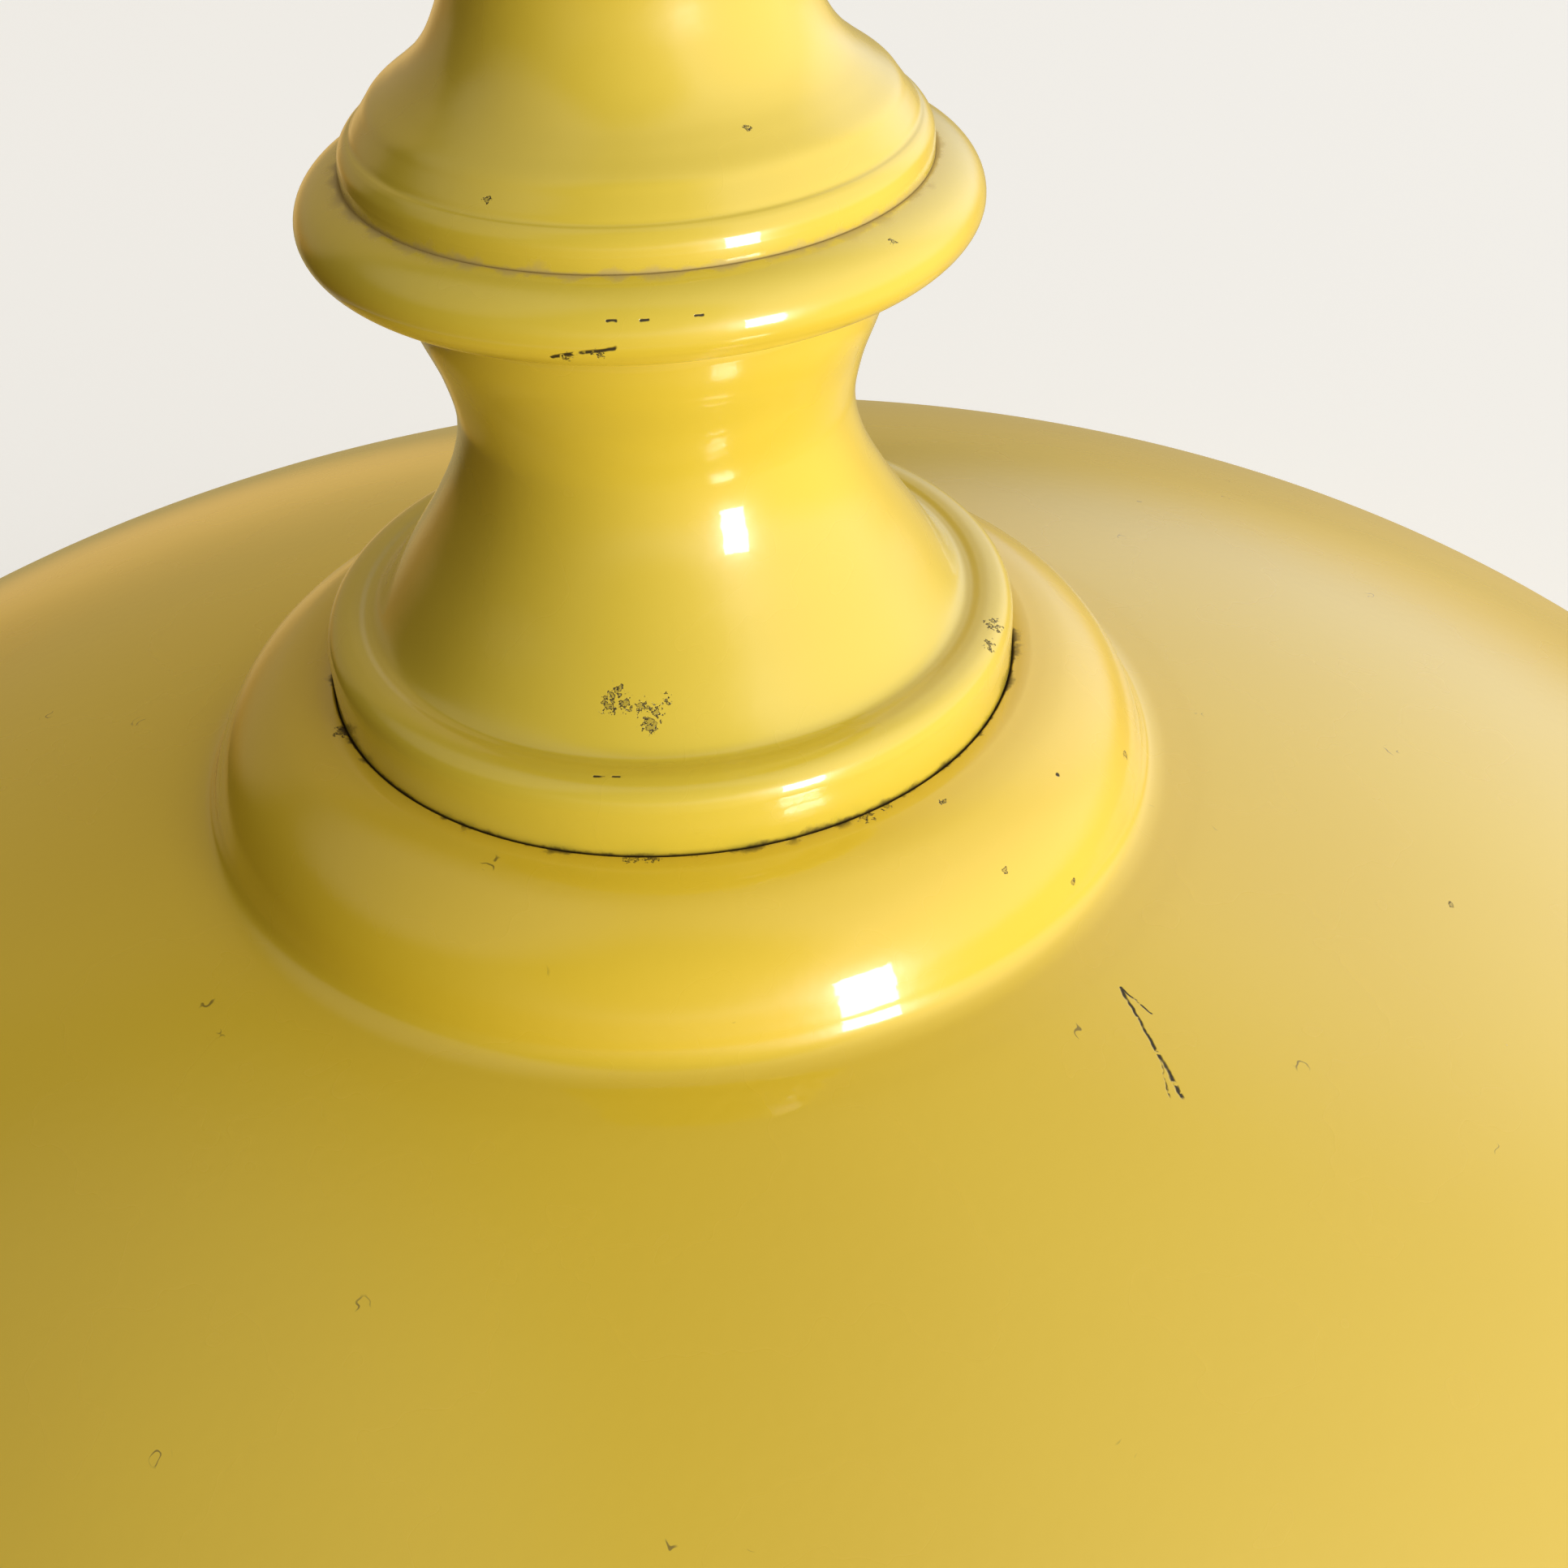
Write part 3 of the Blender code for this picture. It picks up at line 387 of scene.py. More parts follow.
class Finish(Tree):
    """A material's node tree, with the masks that the finishes share."""

    def __init__(self, name):
        self.material = bpy.data.materials.new(name)
        self.material.use_nodes = True
        super().__init__(self.material.node_tree)
        self.shader = self.tree.nodes["Principled BSDF"]
        self.place = self.make("TexCoord", [], "Object")

    def set(self, **values):
        """Sets the shader's sockets, named in lower case with underscores."""
        sockets = {socket.name.lower().replace(" ", "_"): socket for socket in self.shader.inputs}
        for key, value in values.items():
            self.join(value, sockets[key])

    def axis_distance(self):
        """How far the point is from the lamp's axis, in metres."""
        flat = self.vector("MULTIPLY", self.place, (1.0, 1.0, 0.0))
        return self.vector("LENGTH", flat, output="Value")

    def height(self):
        """The point's height over the seat, in metres."""
        return self.math("SUBTRACT", self.make("SeparateXYZ", [self.place], "Z"), SEAT)

    def highest(self, masks):
        """The greatest of the masks at each point."""
        found = masks[0]
        for mask in masks[1:]:
            found = self.math("MAXIMUM", found, mask)
        return found

    def chips(self, spots, wear):
        """Small chips: a fine noise that breaks through a threshold inside balls round the spots,
        darkest along the broken edge."""
        balls = [(self.vector("DISTANCE", self.place, centre, output="Value"), radius * MM, amount)
                 for centre, radius, amount in spots]
        near = self.highest([self.ramp(away, radius, 0.0, 0.0, amount) for away, radius, amount in balls])
        level = self.math("MULTIPLY_ADD", near, 0.26 * wear, self.noise(1700.0, 3.0, 0.6))
        edge = self.math("MULTIPLY", self.ramp(level, 0.66, 0.69), self.ramp(level, 0.77, 0.73, 0.35, 1.0))
        return self.math("MULTIPLY", edge, self.ramp(near, 0.0, 0.15))

    def scattered(self, scale, radius, chance, place=None):
        """Round spots in a few of the cells of a scattered pattern, soft at the edge."""
        inputs = {"Vector": place or self.place, "Scale": scale}
        near = self.ramp(self.make("TexVoronoi", inputs, "Distance"), radius, 0.6 * radius)
        drawn = self.make("SeparateColor", [self.make("TexVoronoi", inputs, "Color")])
        return self.math("MULTIPLY", near, self.math("GREATER_THAN", drawn, 1.0 - chance))

    def threads(self, chance):
        """Short curved dust threads: a contour of a soft noise, kept inside scattered spots."""
        off = self.math("ABSOLUTE", self.math("SUBTRACT", self.noise(380.0, 1.0), 0.5))
        return self.math("MULTIPLY", self.ramp(off, 0.022, 0.010), self.scattered(70.0, 0.11, chance))

    def stroke(self, start, end, width, place):
        """A scratch: the points nearer than half the width to the line from start to end."""
        way = Vector(end) - Vector(start)
        size = max(way.length, 1e-6)
        offset = self.vector("SUBTRACT", place, start)
        along = self.vector("DOT_PRODUCT", offset, way / size, output="Value")
        held = self.make("Clamp", [along, 0.0, size])
        foot = self.vector("SCALE", way / size)
        self.join(held, foot.node.inputs["Scale"])
        distance = self.vector("DISTANCE", offset, foot, output="Value")
        return self.ramp(distance, 0.5 * width, 0.2 * width)


def on_surface(line, degrees, at, upright=False):
    """The point of a turned outer face at an angle from the front, where the profile passes this
    radius, or this height if upright. Millimetres from the seat, result in metres on the frame."""
    i = int(np.argmin(np.abs(line[:, 1 if upright else 0] - at)))
    turn = math.radians(degrees - 90)
    r, z = line[i]
    return Vector((r * MM * math.cos(turn), r * MM * math.sin(turn), z * MM + SEAT))


def lacquer(name, base, chips=(), strokes=(), threads=0.0, specks=0.0, grime=None, dust=None):
    """Glossy sprayed lacquer under a clear layer, with fine orange peel, and its chips, scratches,
    dust threads, seam dirt and crease dust. chips hold a centre, a radius in millimetres and an
    amount, strokes a start, an end and a width in millimetres. threads and specks are the share of
    cells that have one. grime and dust are functions of the node tree that give a mask."""
    look = finish()
    n = Finish(name)
    base = tuple(base)
    deeper = tuple(c * k for c, k in zip(base, (0.96, 0.945, 0.91)))
    tone = n.blend(n.ramp(n.noise(9.0, 2.0), 0.35, 0.7), base, deeper)
    rough = n.ramp(n.noise(38.0, 3.0), 0.3, 0.75, 0.25, 0.29)
    normal = n.bump(n.noise(520.0, 1.0, 0.4), look.peel, 0.0004)
    shaky = n.vector("MULTIPLY_ADD", n.noise(420.0, 2.0, output="Color"), (0.0008,) * 3, n.place)
    shaky = n.vector("SUBTRACT", shaky, (0.0004,) * 3)
    masks = [n.stroke(start, end, width * MM * look.wear, shaky) for start, end, width in strokes]
    if masks:
        gaps = n.ramp(n.noise(700.0, 2.0), 0.34, 0.44)
        masks = [n.math("MULTIPLY", n.highest(masks), gaps)]
    if chips:
        masks.append(n.chips(chips, look.wear))
    if specks:
        masks.append(n.scattered(75.0, 0.035, specks * look.wear, shaky))
    clean = look.gloss
    if masks:
        bare = n.highest(masks)
        clean = n.math("MULTIPLY_ADD", bare, -look.gloss, clean)
        tone = n.blend(bare, tone, tuple(look.bare))
        rough = n.math("MULTIPLY_ADD", bare, 0.3, rough)
        normal = n.bump(bare, 0.6, -0.0001, normal)
    if threads:
        tone = n.blend(n.math("MULTIPLY", n.threads(threads), 0.7), tone, tuple(look.grime))
    for mask, dirt in ((grime, look.grime), (dust, look.dust)):
        if mask:
            film = mask(n)
            clean = n.math("MULTIPLY", clean, n.math("SUBTRACT", 1.0, film))
            tone = n.blend(film, tone, tuple(dirt))
            rough = n.math("MULTIPLY_ADD", film, 0.35, rough)
    n.set(base_color=tone, roughness=rough, normal=normal, coat_weight=clean, coat_roughness=0.05,
          coat_normal=normal)
    return n.material


def metal(name, tint, rough, dark, tarnish=0.35):
    """Plain or plated metal: darker, rougher tarnish in cloudy patches, with fine turning marks
    that run round the axis."""
    n = Finish(name)
    cloud = n.ramp(n.noise(60.0, 4.0, 0.6), 0.42, 0.72)
    height = n.make("SeparateXYZ", [n.place], "Z")
    rings = n.make("CombineXYZ", [n.axis_distance(), 0.0, height])
    marks = n.noise(2600.0, 2.0, 0.5, rings)
    fine = n.ramp(marks, 0.3, 0.7, rough, rough + 0.08)
    n.set(base_color=n.blend(n.math("MULTIPLY", cloud, tarnish), tint, dark), metallic=1.0,
          roughness=n.math("MULTIPLY_ADD", cloud, 0.18, fine), normal=n.bump(marks, 0.12, 0.00005))
    return n.material


def moulded(name, tint, rough, dirty, relief=0.1, coat=0.0, subsurface=0.0):
    """Moulded plastic or ceramic: a faint cloudiness, a fine grain and a little handling dirt."""
    n = Finish(name)
    cloud = n.ramp(n.noise(45.0, 3.0), 0.35, 0.75)
    fine = n.noise(1100.0, 2.0)
    n.set(base_color=n.blend(n.math("MULTIPLY", cloud, 0.5), tint, dirty),
          roughness=n.ramp(fine, 0.3, 0.7, rough, rough + 0.09),
          normal=n.bump(fine, relief, 0.00006), coat_weight=coat, coat_roughness=0.08,
          subsurface_weight=subsurface, subsurface_radius=(0.004, 0.004, 0.003), subsurface_scale=1.0)
    return n.material


# ---------------------------------------------------------------- outer faces of the turned pieces


def dome_centre(s):
    """Height of the centre of the dome's sphere, which meets the collar's foot."""
    return -(s.collar_drop + math.sqrt(s.dome_radius**2 - s.collar_radius**2)) / MM


def dome_height(s, radius):
    return dome_centre(s) + np.sqrt((s.dome_radius / MM) ** 2 - np.asarray(radius, float) ** 2)


def shade_line(s):
    """The shade's outer face: seat, collar, dome, shoulder and skirt, down to the rolled rim."""
    recess = (s.foot_radius + s.seam) / MM
    collar, drop = s.collar_radius / MM, s.collar_drop / MM
    width = collar - recess
    foot = s.foot_radius / MM
    seat = rounded_open([(SHADE_HOLE, -SEAT_DEPTH), (foot + 0.06, -SEAT_DEPTH), (foot + 0.08, -0.6),
                         (recess - 0.04, -0.5), (recess + 0.15, -0.2), (recess + 2.35, 0.0)], 0.2)
    turn = [(0.302, 0.043), (0.466, 0.114), (0.666, 0.251), (0.818, 0.406), (0.941, 0.606)]
    foot_of_step = [(2.1, 0.42), (3.9, -0.08), (6.5, -0.10), (10.5, 0.0)]  # out from it, over the dome
    step = curve([(recess + 2.35, 0.0)] + [(recess + r * width, -z * drop) for r, z in turn]
                 + [(collar + 0.3, -0.80 * drop), (collar + 1.05, -0.915 * drop)]
                 + [(collar + r, dome_height(s, collar + r) + z) for r, z in foot_of_step], 6)
    big, small = s.dome_radius / MM, s.shoulder_radius / MM
    slope_end = math.radians(82)
    rim = s.rim / MM
    skirt = s.shade_radius / MM - 0.15 * rim
    run = s.skirt_length / MM
    turn_radius = skirt - run * math.cos(slope_end) - small * math.sin(slope_end)
    slope = math.asin(turn_radius / (big - small))
    level = dome_centre(s) + (big - small) * math.cos(slope)
    start = math.asin((collar + 10.5) / big)
    dome = arc((0, dome_centre(s)), (big, big), 90 - math.degrees(start), 90 - math.degrees(slope), 48)
    shoulder = arc((turn_radius, level), (small, small), 90 - math.degrees(slope), 8, 26)
    end = shoulder[-1] + run * np.array([math.cos(slope_end), -math.sin(slope_end)])
    wall = np.linspace(shoulder[-1], end, 5)[1:]
    return np.vstack([seat[:-1], step[:-1], dome[:-1], shoulder, wall])


def rounded_open(corners, reach, steps=4):
    """The same rounding as rounded(), on a line with two free ends."""
    p = np.asarray(corners, float)
    return np.vstack([p[:1], rounded(p, reach, steps).reshape(len(p), -1, 2)[1:-1].reshape(-1, 2), p[-1:]])


def spool_line(s):
    """The spool's outer face, from its top plate down the waist and flare to the foot."""
    foot, waist = s.foot_radius / MM, s.waist_radius / MM
    bottom, top = span("crown_spool")
    plate = rounded_open([(STEM_HOLE, top), (waist + 4.8, top), (waist + 4.9, top - 1.4)], 0.7)
    neck = [(4.9, top - 1.4), (4.0, 55.0), (1.3, 47.5), (0, 40.0), (1.5, 32.5), (5.2, 25.0), (10.0, 17.5),
            (13.6, 12.0), (15.3, 10.1), (16.6, 9.75), (18.0, 9.9)]
    edge = [(3.3, 9.85), (1.75, 9.35), (0.65, 8.35), (0.12, 6.9), (0, 5.4)]
    body = curve([(waist + r, z) for r, z in neck] + [(foot - r, z) for r, z in edge], 9)
    side = np.array([(foot, 2.5), (foot, bottom + 0.3), (foot - 0.3, bottom)])
    return np.vstack([plate[:-1], body, side])


def ring_line(s):
    """The ring's outer face, from the recess that the bell stands in down the bead to the spool."""
    bottom, top = span("crown_ring")
    ring, bell = s.ring_radius / MM, s.bell_radius / MM
    bulge = 7.15
    centre = (ring - bulge, bottom + 7.4)
    crest = arc(centre, (bulge, 5.6), 82, 0, 30)
    lip = [(bell - 6.0, top - 1.2), (bell - 0.05, top - 1.2), (bell - 0.05, crest[0, 1] - 0.2)]
    under = arc(centre, (bulge, 4.9), 0, -104, 30)[1:]
    return np.vstack([lip, crest, under, [(centre[0] - 2.6, bottom + 1.7), (centre[0] - 3.5, bottom + 0.7),
                                          (centre[0] - 4.2, bottom)]])


def bell_line(s):
    """The bell's outer face, from its top plate down the flare and the cove to the lip."""
    bottom, top = span("crown_bell")
    bell, neck = s.bell_radius / MM, s.bell_top_radius / MM
    plate = rounded_open([(STEM_HOLE, top), (neck - 0.1, top), (neck, top - 1.4)], 0.7)
    flare = [(0, top - 1.4), (0.4, 101.0), (1.2, 98.3), (2.6, 94.0), (4.6, 90.0), (6.9, 87.2), (9.6, 85.0),
             (12.2, 83.1), (13.4, 81.6), (14.5, 80.1), (15.1, 79.2), (15.7, 78.85)]
    lip = [(0.85, 78.3), (0.25, 77.3), (0, 76.0)]
    body = curve([(neck + r, z) for r, z in flare] + [(bell - r, z) for r, z in lip], 9)
    side = np.array([(bell, 74.8), (bell, bottom + 0.3), (bell - 0.3, bottom)])
    return np.vstack([plate[:-1], body, side])


def cap_line(s):
    """The cap's outer face: a flat for the gland, a small dome, a cove and a bead."""
    bottom, top = span("crown_cap")
    flat = 8.5
    bead = s.bead_radius / MM
    middle = frame_radius("crown_cap") / MM - bead
    over = bottom + 2 * bead
    body = curve([(flat, top), (flat + 1.4, top - 0.25), (0.5 * (flat + middle) - 1.0, top - 2.6),
                  (middle - 3.4, top - 5.6), (middle - 2.4, over + 2.0), (middle - 1.6, over + 0.5),
                  (middle - 0.9, over + 0.05)], 10)
    round_bead = arc((middle, bottom + bead), (bead, bead), 90, -90, 30)
    return np.vstack([[(STEM_HOLE, top)], body, round_bead, [(middle - 4.0, bottom)]])


# ---------------------------------------------------------------- operators: shade and crown


class PENDANT_OT_shade(bpy.types.Operator):
    """Spin the dome shade with its collar, skirt and rolled rim"""

    bl_idname = "pendant.shade"
    bl_label = "Shade"
    bl_options = UNDOABLE

    def execute(self, context):
        s = sizes()
        line = shade_line(s)
        wall, rim = s.sheet / MM, 0.5 * s.rim / MM
        centre = (s.shade_radius / MM - rim - 0.05, (FRAME_BOX[0][2] - SEAT) / MM + rim)
        roll = arc(centre, (rim, rim), 20, -200, 30)
        inner = beside(line, wall)
        inner = inner[inner[:, 1] > centre[1] + 1.2 * rim][::-1]
        profile = np.vstack([line, roll, inner])
        under = np.arange(len(profile)) >= len(line) + len(roll) - 6
        points, faces = lathe(profile, FINE)
        under = under[::-1] if is_reversed(profile) else under
        inner_faces = np.repeat(under, FINE)
        materials = [shade_lacquer(line), lacquer("enamel_inside", finish().inside)]
        add_piece("shade_shell", points, faces, materials, "shade", inner_faces)
        return DONE


def shade_lacquer(line):
    """The shade's own marks: a forked scratch, specks, dust threads and dirt along the crown's seam."""
    s = sizes()
    edge = s.foot_radius + s.seam

    def spot(degrees, radius):
        return on_surface(line, degrees, radius)

    def seam_dirt(n):
        """A thin dirty line that spreads here and there."""
        ragged = n.ramp(n.noise(170.0, 4.0, 0.65), 0.46, 0.72, 0.0001, 0.0022)
        return n.ramp(n.axis_distance(), n.math("ADD", ragged, edge), edge - 0.0001)

    def pale_specks(n):
        return n.scattered(62.0, 0.025, 0.03)

    top, end = spot(46.1, 81.6), spot(41.4, 98.7)
    fork, side = top.lerp(end, 0.62), end + Vector((-0.0016, -0.0002, 0.0))
    strokes = [(top, fork, 0.62), (fork, end, 0.75), (fork, side, 0.5), (top, spot(45.9, 87.8), 0.34)]
    chips = [(spot(-5, 50.8), 2.0, 1.1), (spot(-66, 50.9), 2.3, 1.1), (spot(-2, 50.7), 1.7, 0.9),
             (spot(31, 51.2), 2.3, 0.9), (spot(35, 51.3), 2.0, 0.8), (spot(42.2, 54.8), 0.9, 1.3),
             (spot(42.8, 65.3), 0.8, 1.3), (spot(51.8, 69.5), 0.8, 1.3), (spot(73.4, 68.0), 1.2, 1.2),
             (spot(73.3, 116.0), 0.9, 1.3)]
    return lacquer("lacquer_shade", finish().lacquer, chips, strokes, threads=0.6, specks=0.02,
                   grime=seam_dirt, dust=pale_specks)


class PENDANT_OT_spool(bpy.types.Operator):
    """Turn the waisted spool with its foot"""

    bl_idname = "pendant.spool"
    bl_label = "Spool"
    bl_options = UNDOABLE

    def execute(self, context):
        s = sizes()
        line = spool_line(s)
        profile = shell(line, s.sheet / MM)
        turned("spool", profile, MEDIUM, self.lacquer(line), "crown_spool")
        return DONE

    def lacquer(self, line):
        """Chips low on the flare and on the foot's edge, and dirt along the foot's bottom edge."""

        def foot_dirt(n):
            ragged = n.ramp(n.noise(190.0, 4.0, 0.65), 0.46, 0.75, 0.0, 0.0013)
            return n.ramp(n.height(), ragged, -0.0005)

        def spot(degrees, height):
            return on_surface(line, degrees, height, upright=True)

        chips = [(spot(-10.1, 15.6), 2.2, 0.95), (spot(-8.6, 16.9), 1.9, 0.95), (spot(-6.9, 15.2), 2.0, 0.95),
                 (spot(-3.4, 15.4), 1.7, 0.9), (spot(-2.3, 13.4), 2.1, 1.1), (spot(-1.0, 14.7), 1.6, 0.95),
                 (spot(1.0, 16.2), 1.3, 0.8), (on_surface(line, 73.3, 48.0), 2.4, 0.9),
                 (on_surface(line, 67.8, 48.5), 2.0, 0.8)]
        strokes = [(on_surface(line, -10.6, 46.7), on_surface(line, -9.2, 46.6), 0.5),
                   (on_surface(line, -7.8, 46.5), on_surface(line, -6.6, 46.5), 0.45)]
        return lacquer("lacquer_spool", finish().crown, chips, strokes, specks=0.012, grime=foot_dirt)


class PENDANT_OT_ring(bpy.types.Operator):
    """Turn the beaded ring between spool and bell"""

    bl_idname = "pendant.ring"
    bl_label = "Beaded ring"
    bl_options = UNDOABLE

    def execute(self, context):
        line = ring_line(sizes())
        bottom = span("crown_ring")[0]
        web = [(STEM_HOLE, bottom), (STEM_HOLE, bottom + 3.0), (line[0, 0], bottom + 3.0)]
        turned("beaded_ring", np.vstack([line, web]), MEDIUM, self.lacquer(line),
               "crown_ring")
        return DONE

    def lacquer(self, line):
        """A broken row of chips round the bead, and pale dust in the crease under the bell."""
        crease = sizes().bell_radius

        def crease_dust(n):
            ragged = n.ramp(n.noise(260.0, 4.0, 0.6), 0.35, 0.7, 0.0006, 0.0026)
            near = n.ramp(n.axis_distance(), n.math("ADD", ragged, crease), crease + 0.0002, 0.0, 0.9)
            return n.math("MULTIPLY", near, n.ramp(n.height(), 0.068, 0.070))

        def spot(degrees, height):
            return on_surface(line[line[:, 0] > crease / MM + 0.5], degrees, height, upright=True)

        row = [spot(degrees, height) for degrees, height in
               ((-11.6, 67.1), (-9.0, 67.6), (-6.5, 67.7), (-4.2, 68.2), (-2.1, 68.3))]
        strokes = [(start, end, 0.75) for start, end in zip(row, row[1:])]
        strokes += [(spot(degrees - 0.6, 71.2), spot(degrees + 0.6, 71.2), 0.45)
                    for degrees in (-2.2, 2.6, 10.8)]
        chips = [(spot(-9.5, 67.0), 1.4, 0.8), (spot(-4.5, 67.6), 1.3, 0.8), (spot(47.0, 73.0), 1.0, 1.1)]
        return lacquer("lacquer_ring", finish().crown, chips, strokes, specks=0.012, dust=crease_dust)


class PENDANT_OT_bell(bpy.types.Operator):
    """Turn the flared bell"""

    bl_idname = "pendant.bell"
    bl_label = "Bell"
    bl_options = UNDOABLE

    def execute(self, context):
        s = sizes()
        line = bell_line(s)
        crease = ring_line(s)[3, 1] * MM

        def crease_dust(n):
            ragged = n.ramp(n.noise(230.0, 4.0, 0.6), 0.36, 0.72, 0.0003, 0.0022)
            return n.ramp(n.height(), n.math("ADD", ragged, crease), crease - 0.0002, 0.0, 0.85)

        chips = [(on_surface(line, -27, 34.4), 0.9, 1.2), (on_surface(line, 29, 28.9), 0.9, 1.2)]
        profile = shell(line, s.sheet / MM)
        yellow = lacquer("lacquer_bell", finish().crown, chips, specks=0.012, dust=crease_dust)
        turned("bell", profile, MEDIUM, yellow, "crown_bell")
        return DONE


class PENDANT_OT_cap(bpy.types.Operator):
    """Turn the small domed cap"""

    bl_idname = "pendant.cap"
    bl_label = "Cap"
    bl_options = UNDOABLE

    def execute(self, context):
        s = sizes()
        profile = shell(cap_line(s), s.sheet / MM)
        yellow = lacquer("lacquer_cap", finish().crown, specks=0.012)
        turned("cap", profile, MEDIUM, yellow, "crown_cap")
        return DONE


# ---------------------------------------------------------------- stem, nuts and gland


def hexagon(apothem, low, high):
    """A shaper for lathe(): the radius of a hexagon, apothem / cos(angle off the nearest flat), cut
    by a cone at either face, so that the corners are chamfered."""

    def shape(radius, height, turn):
        flat = apothem / np.cos(np.mod(turn, np.pi / 3) - np.pi / 6)
        cone = apothem + 0.15 + 1.7 * np.minimum(height - low, high - height)
        return np.minimum(flat, cone), height

    return shape


def tube(inner, outer, low, high, corner=0.25):
    return rounded([(inner, low), (outer, low), (outer, high), (inner, high)], corner)


def stem_metal():
    return metal("zinc_steel", finish().zinc, 0.30, (0.34, 0.34, 0.31))


class PENDANT_OT_stem(bpy.types.Operator):
    """Cut the hollow threaded rod"""

    bl_idname = "pendant.stem"
    bl_label = "Stem"
    bl_options = UNDOABLE

    def execute(self, context):
        low, high = span("stem")
        outer = frame_radius("stem") / MM
        bore = outer - STEM_WALL
        wall = np.linspace((outer - 0.6, low + 0.5), (outer - 0.6, high - 0.5), int(6 * (high - low)))
        profile = np.vstack([[(bore, low), (outer - 0.7, low)], wall, [(outer - 0.7, high), (bore, high)]])
        turned("stem_rod", profile, 28, stem_metal(), "stem",
               ridge(low + 0.5, high - 0.5, STEM_PITCH, 0.6), np.abs(profile[:, 0] - outer + 0.6) < 0.01)
        return DONE


class PENDANT_OT_nuts(bpy.types.Operator):
    """Cut the nuts and washers that hold the spool and the lampholder on the stem"""

    bl_idname = "pendant.nuts"
    bl_label = "Nuts and washers"
    bl_options = UNDOABLE

    def execute(self, context):
        steel = stem_metal()
        for node in ("stem_nut", "lock_nut"):
            low, high = span(node)
            apothem = frame_radius(node) / MM * math.cos(math.pi / 6)
            side = spaced([(apothem, low + 0.02), (apothem, high - 0.02)], 0.12)
            face = [(STEM_HOLE + 0.4, high), (STEM_HOLE, high - 0.4), (STEM_HOLE, low + 0.4),
                    (STEM_HOLE + 0.4, low)]
            profile = np.vstack([[(apothem - 0.6, low)], side, [(apothem - 0.6, high)], face])
            turned(node + "_cut", profile, 96, steel, node, hexagon(apothem, low, high),
                   np.abs(profile[:, 0] - apothem) < 0.01)
        for node in ("stem_washer", "lock_washer"):
            low, high = span(node)
            turned(node + "_cut", tube(STEM_HOLE, frame_radius(node) / MM, low, high), COARSE, steel,
                   node)
        return DONE


def along_x(level):
    """A move for points made round Z: they then lie along +X, with this height on their axis."""
    return lambda p: np.stack([p[:, 2], p[:, 1], level - p[:, 0]], 1)


def screw(radius, head, low, seat, top):
    """A cheese-head screw along Z: its point at low, the head from seat to top."""
    return np.array([(0, low), (radius - 0.35, low), (radius, low + 0.4), (radius, seat),
                     (head - 0.1, seat), (head, seat + 0.12), (head, top - 0.55), (head - 0.12, top - 0.22),
                     (head - 0.45, top - 0.04), (0.4 * head, top), (0, top)])


def cut(made, points, faces):
    """Takes a closed shape, in millimetres from the seat's centre, out of a finished piece."""
    mesh = bpy.data.meshes.new(made.name + "_cutter")
    mesh.from_pydata(points * MM + np.array([0, 0, SEAT]), [], faces)
    close_poles(mesh)
    tool = bpy.data.objects.new(mesh.name, mesh)
    bpy.context.scene.collection.objects.link(tool)
    boolean = made.modifiers.new("cut", "BOOLEAN")
    boolean.operation, boolean.solver, boolean.object = "DIFFERENCE", "EXACT", tool
    shapes = bpy.context.evaluated_depsgraph_get()
    result = bpy.data.meshes.new_from_object(made.evaluated_get(shapes))
    made.modifiers.remove(boolean)
    made.data, old = result, made.data
    bpy.data.objects.remove(tool)
    bpy.data.meshes.remove(old)
    result.shade_smooth()
    result.set_sharp_from_angle(angle=math.radians(30))


def slab(low, high):
    """The points and faces of a block between two corners."""
    (a, b, c), (d, e, f) = low, high
    points = np.array([(x, y, z) for z in (c, f) for y in (b, e) for x in (a, d)], float)
    return points, [(0, 2, 3, 1), (4, 5, 7, 6), (0, 1, 5, 4), (2, 6, 7, 3), (0, 4, 6, 2), (1, 3, 7, 5)]


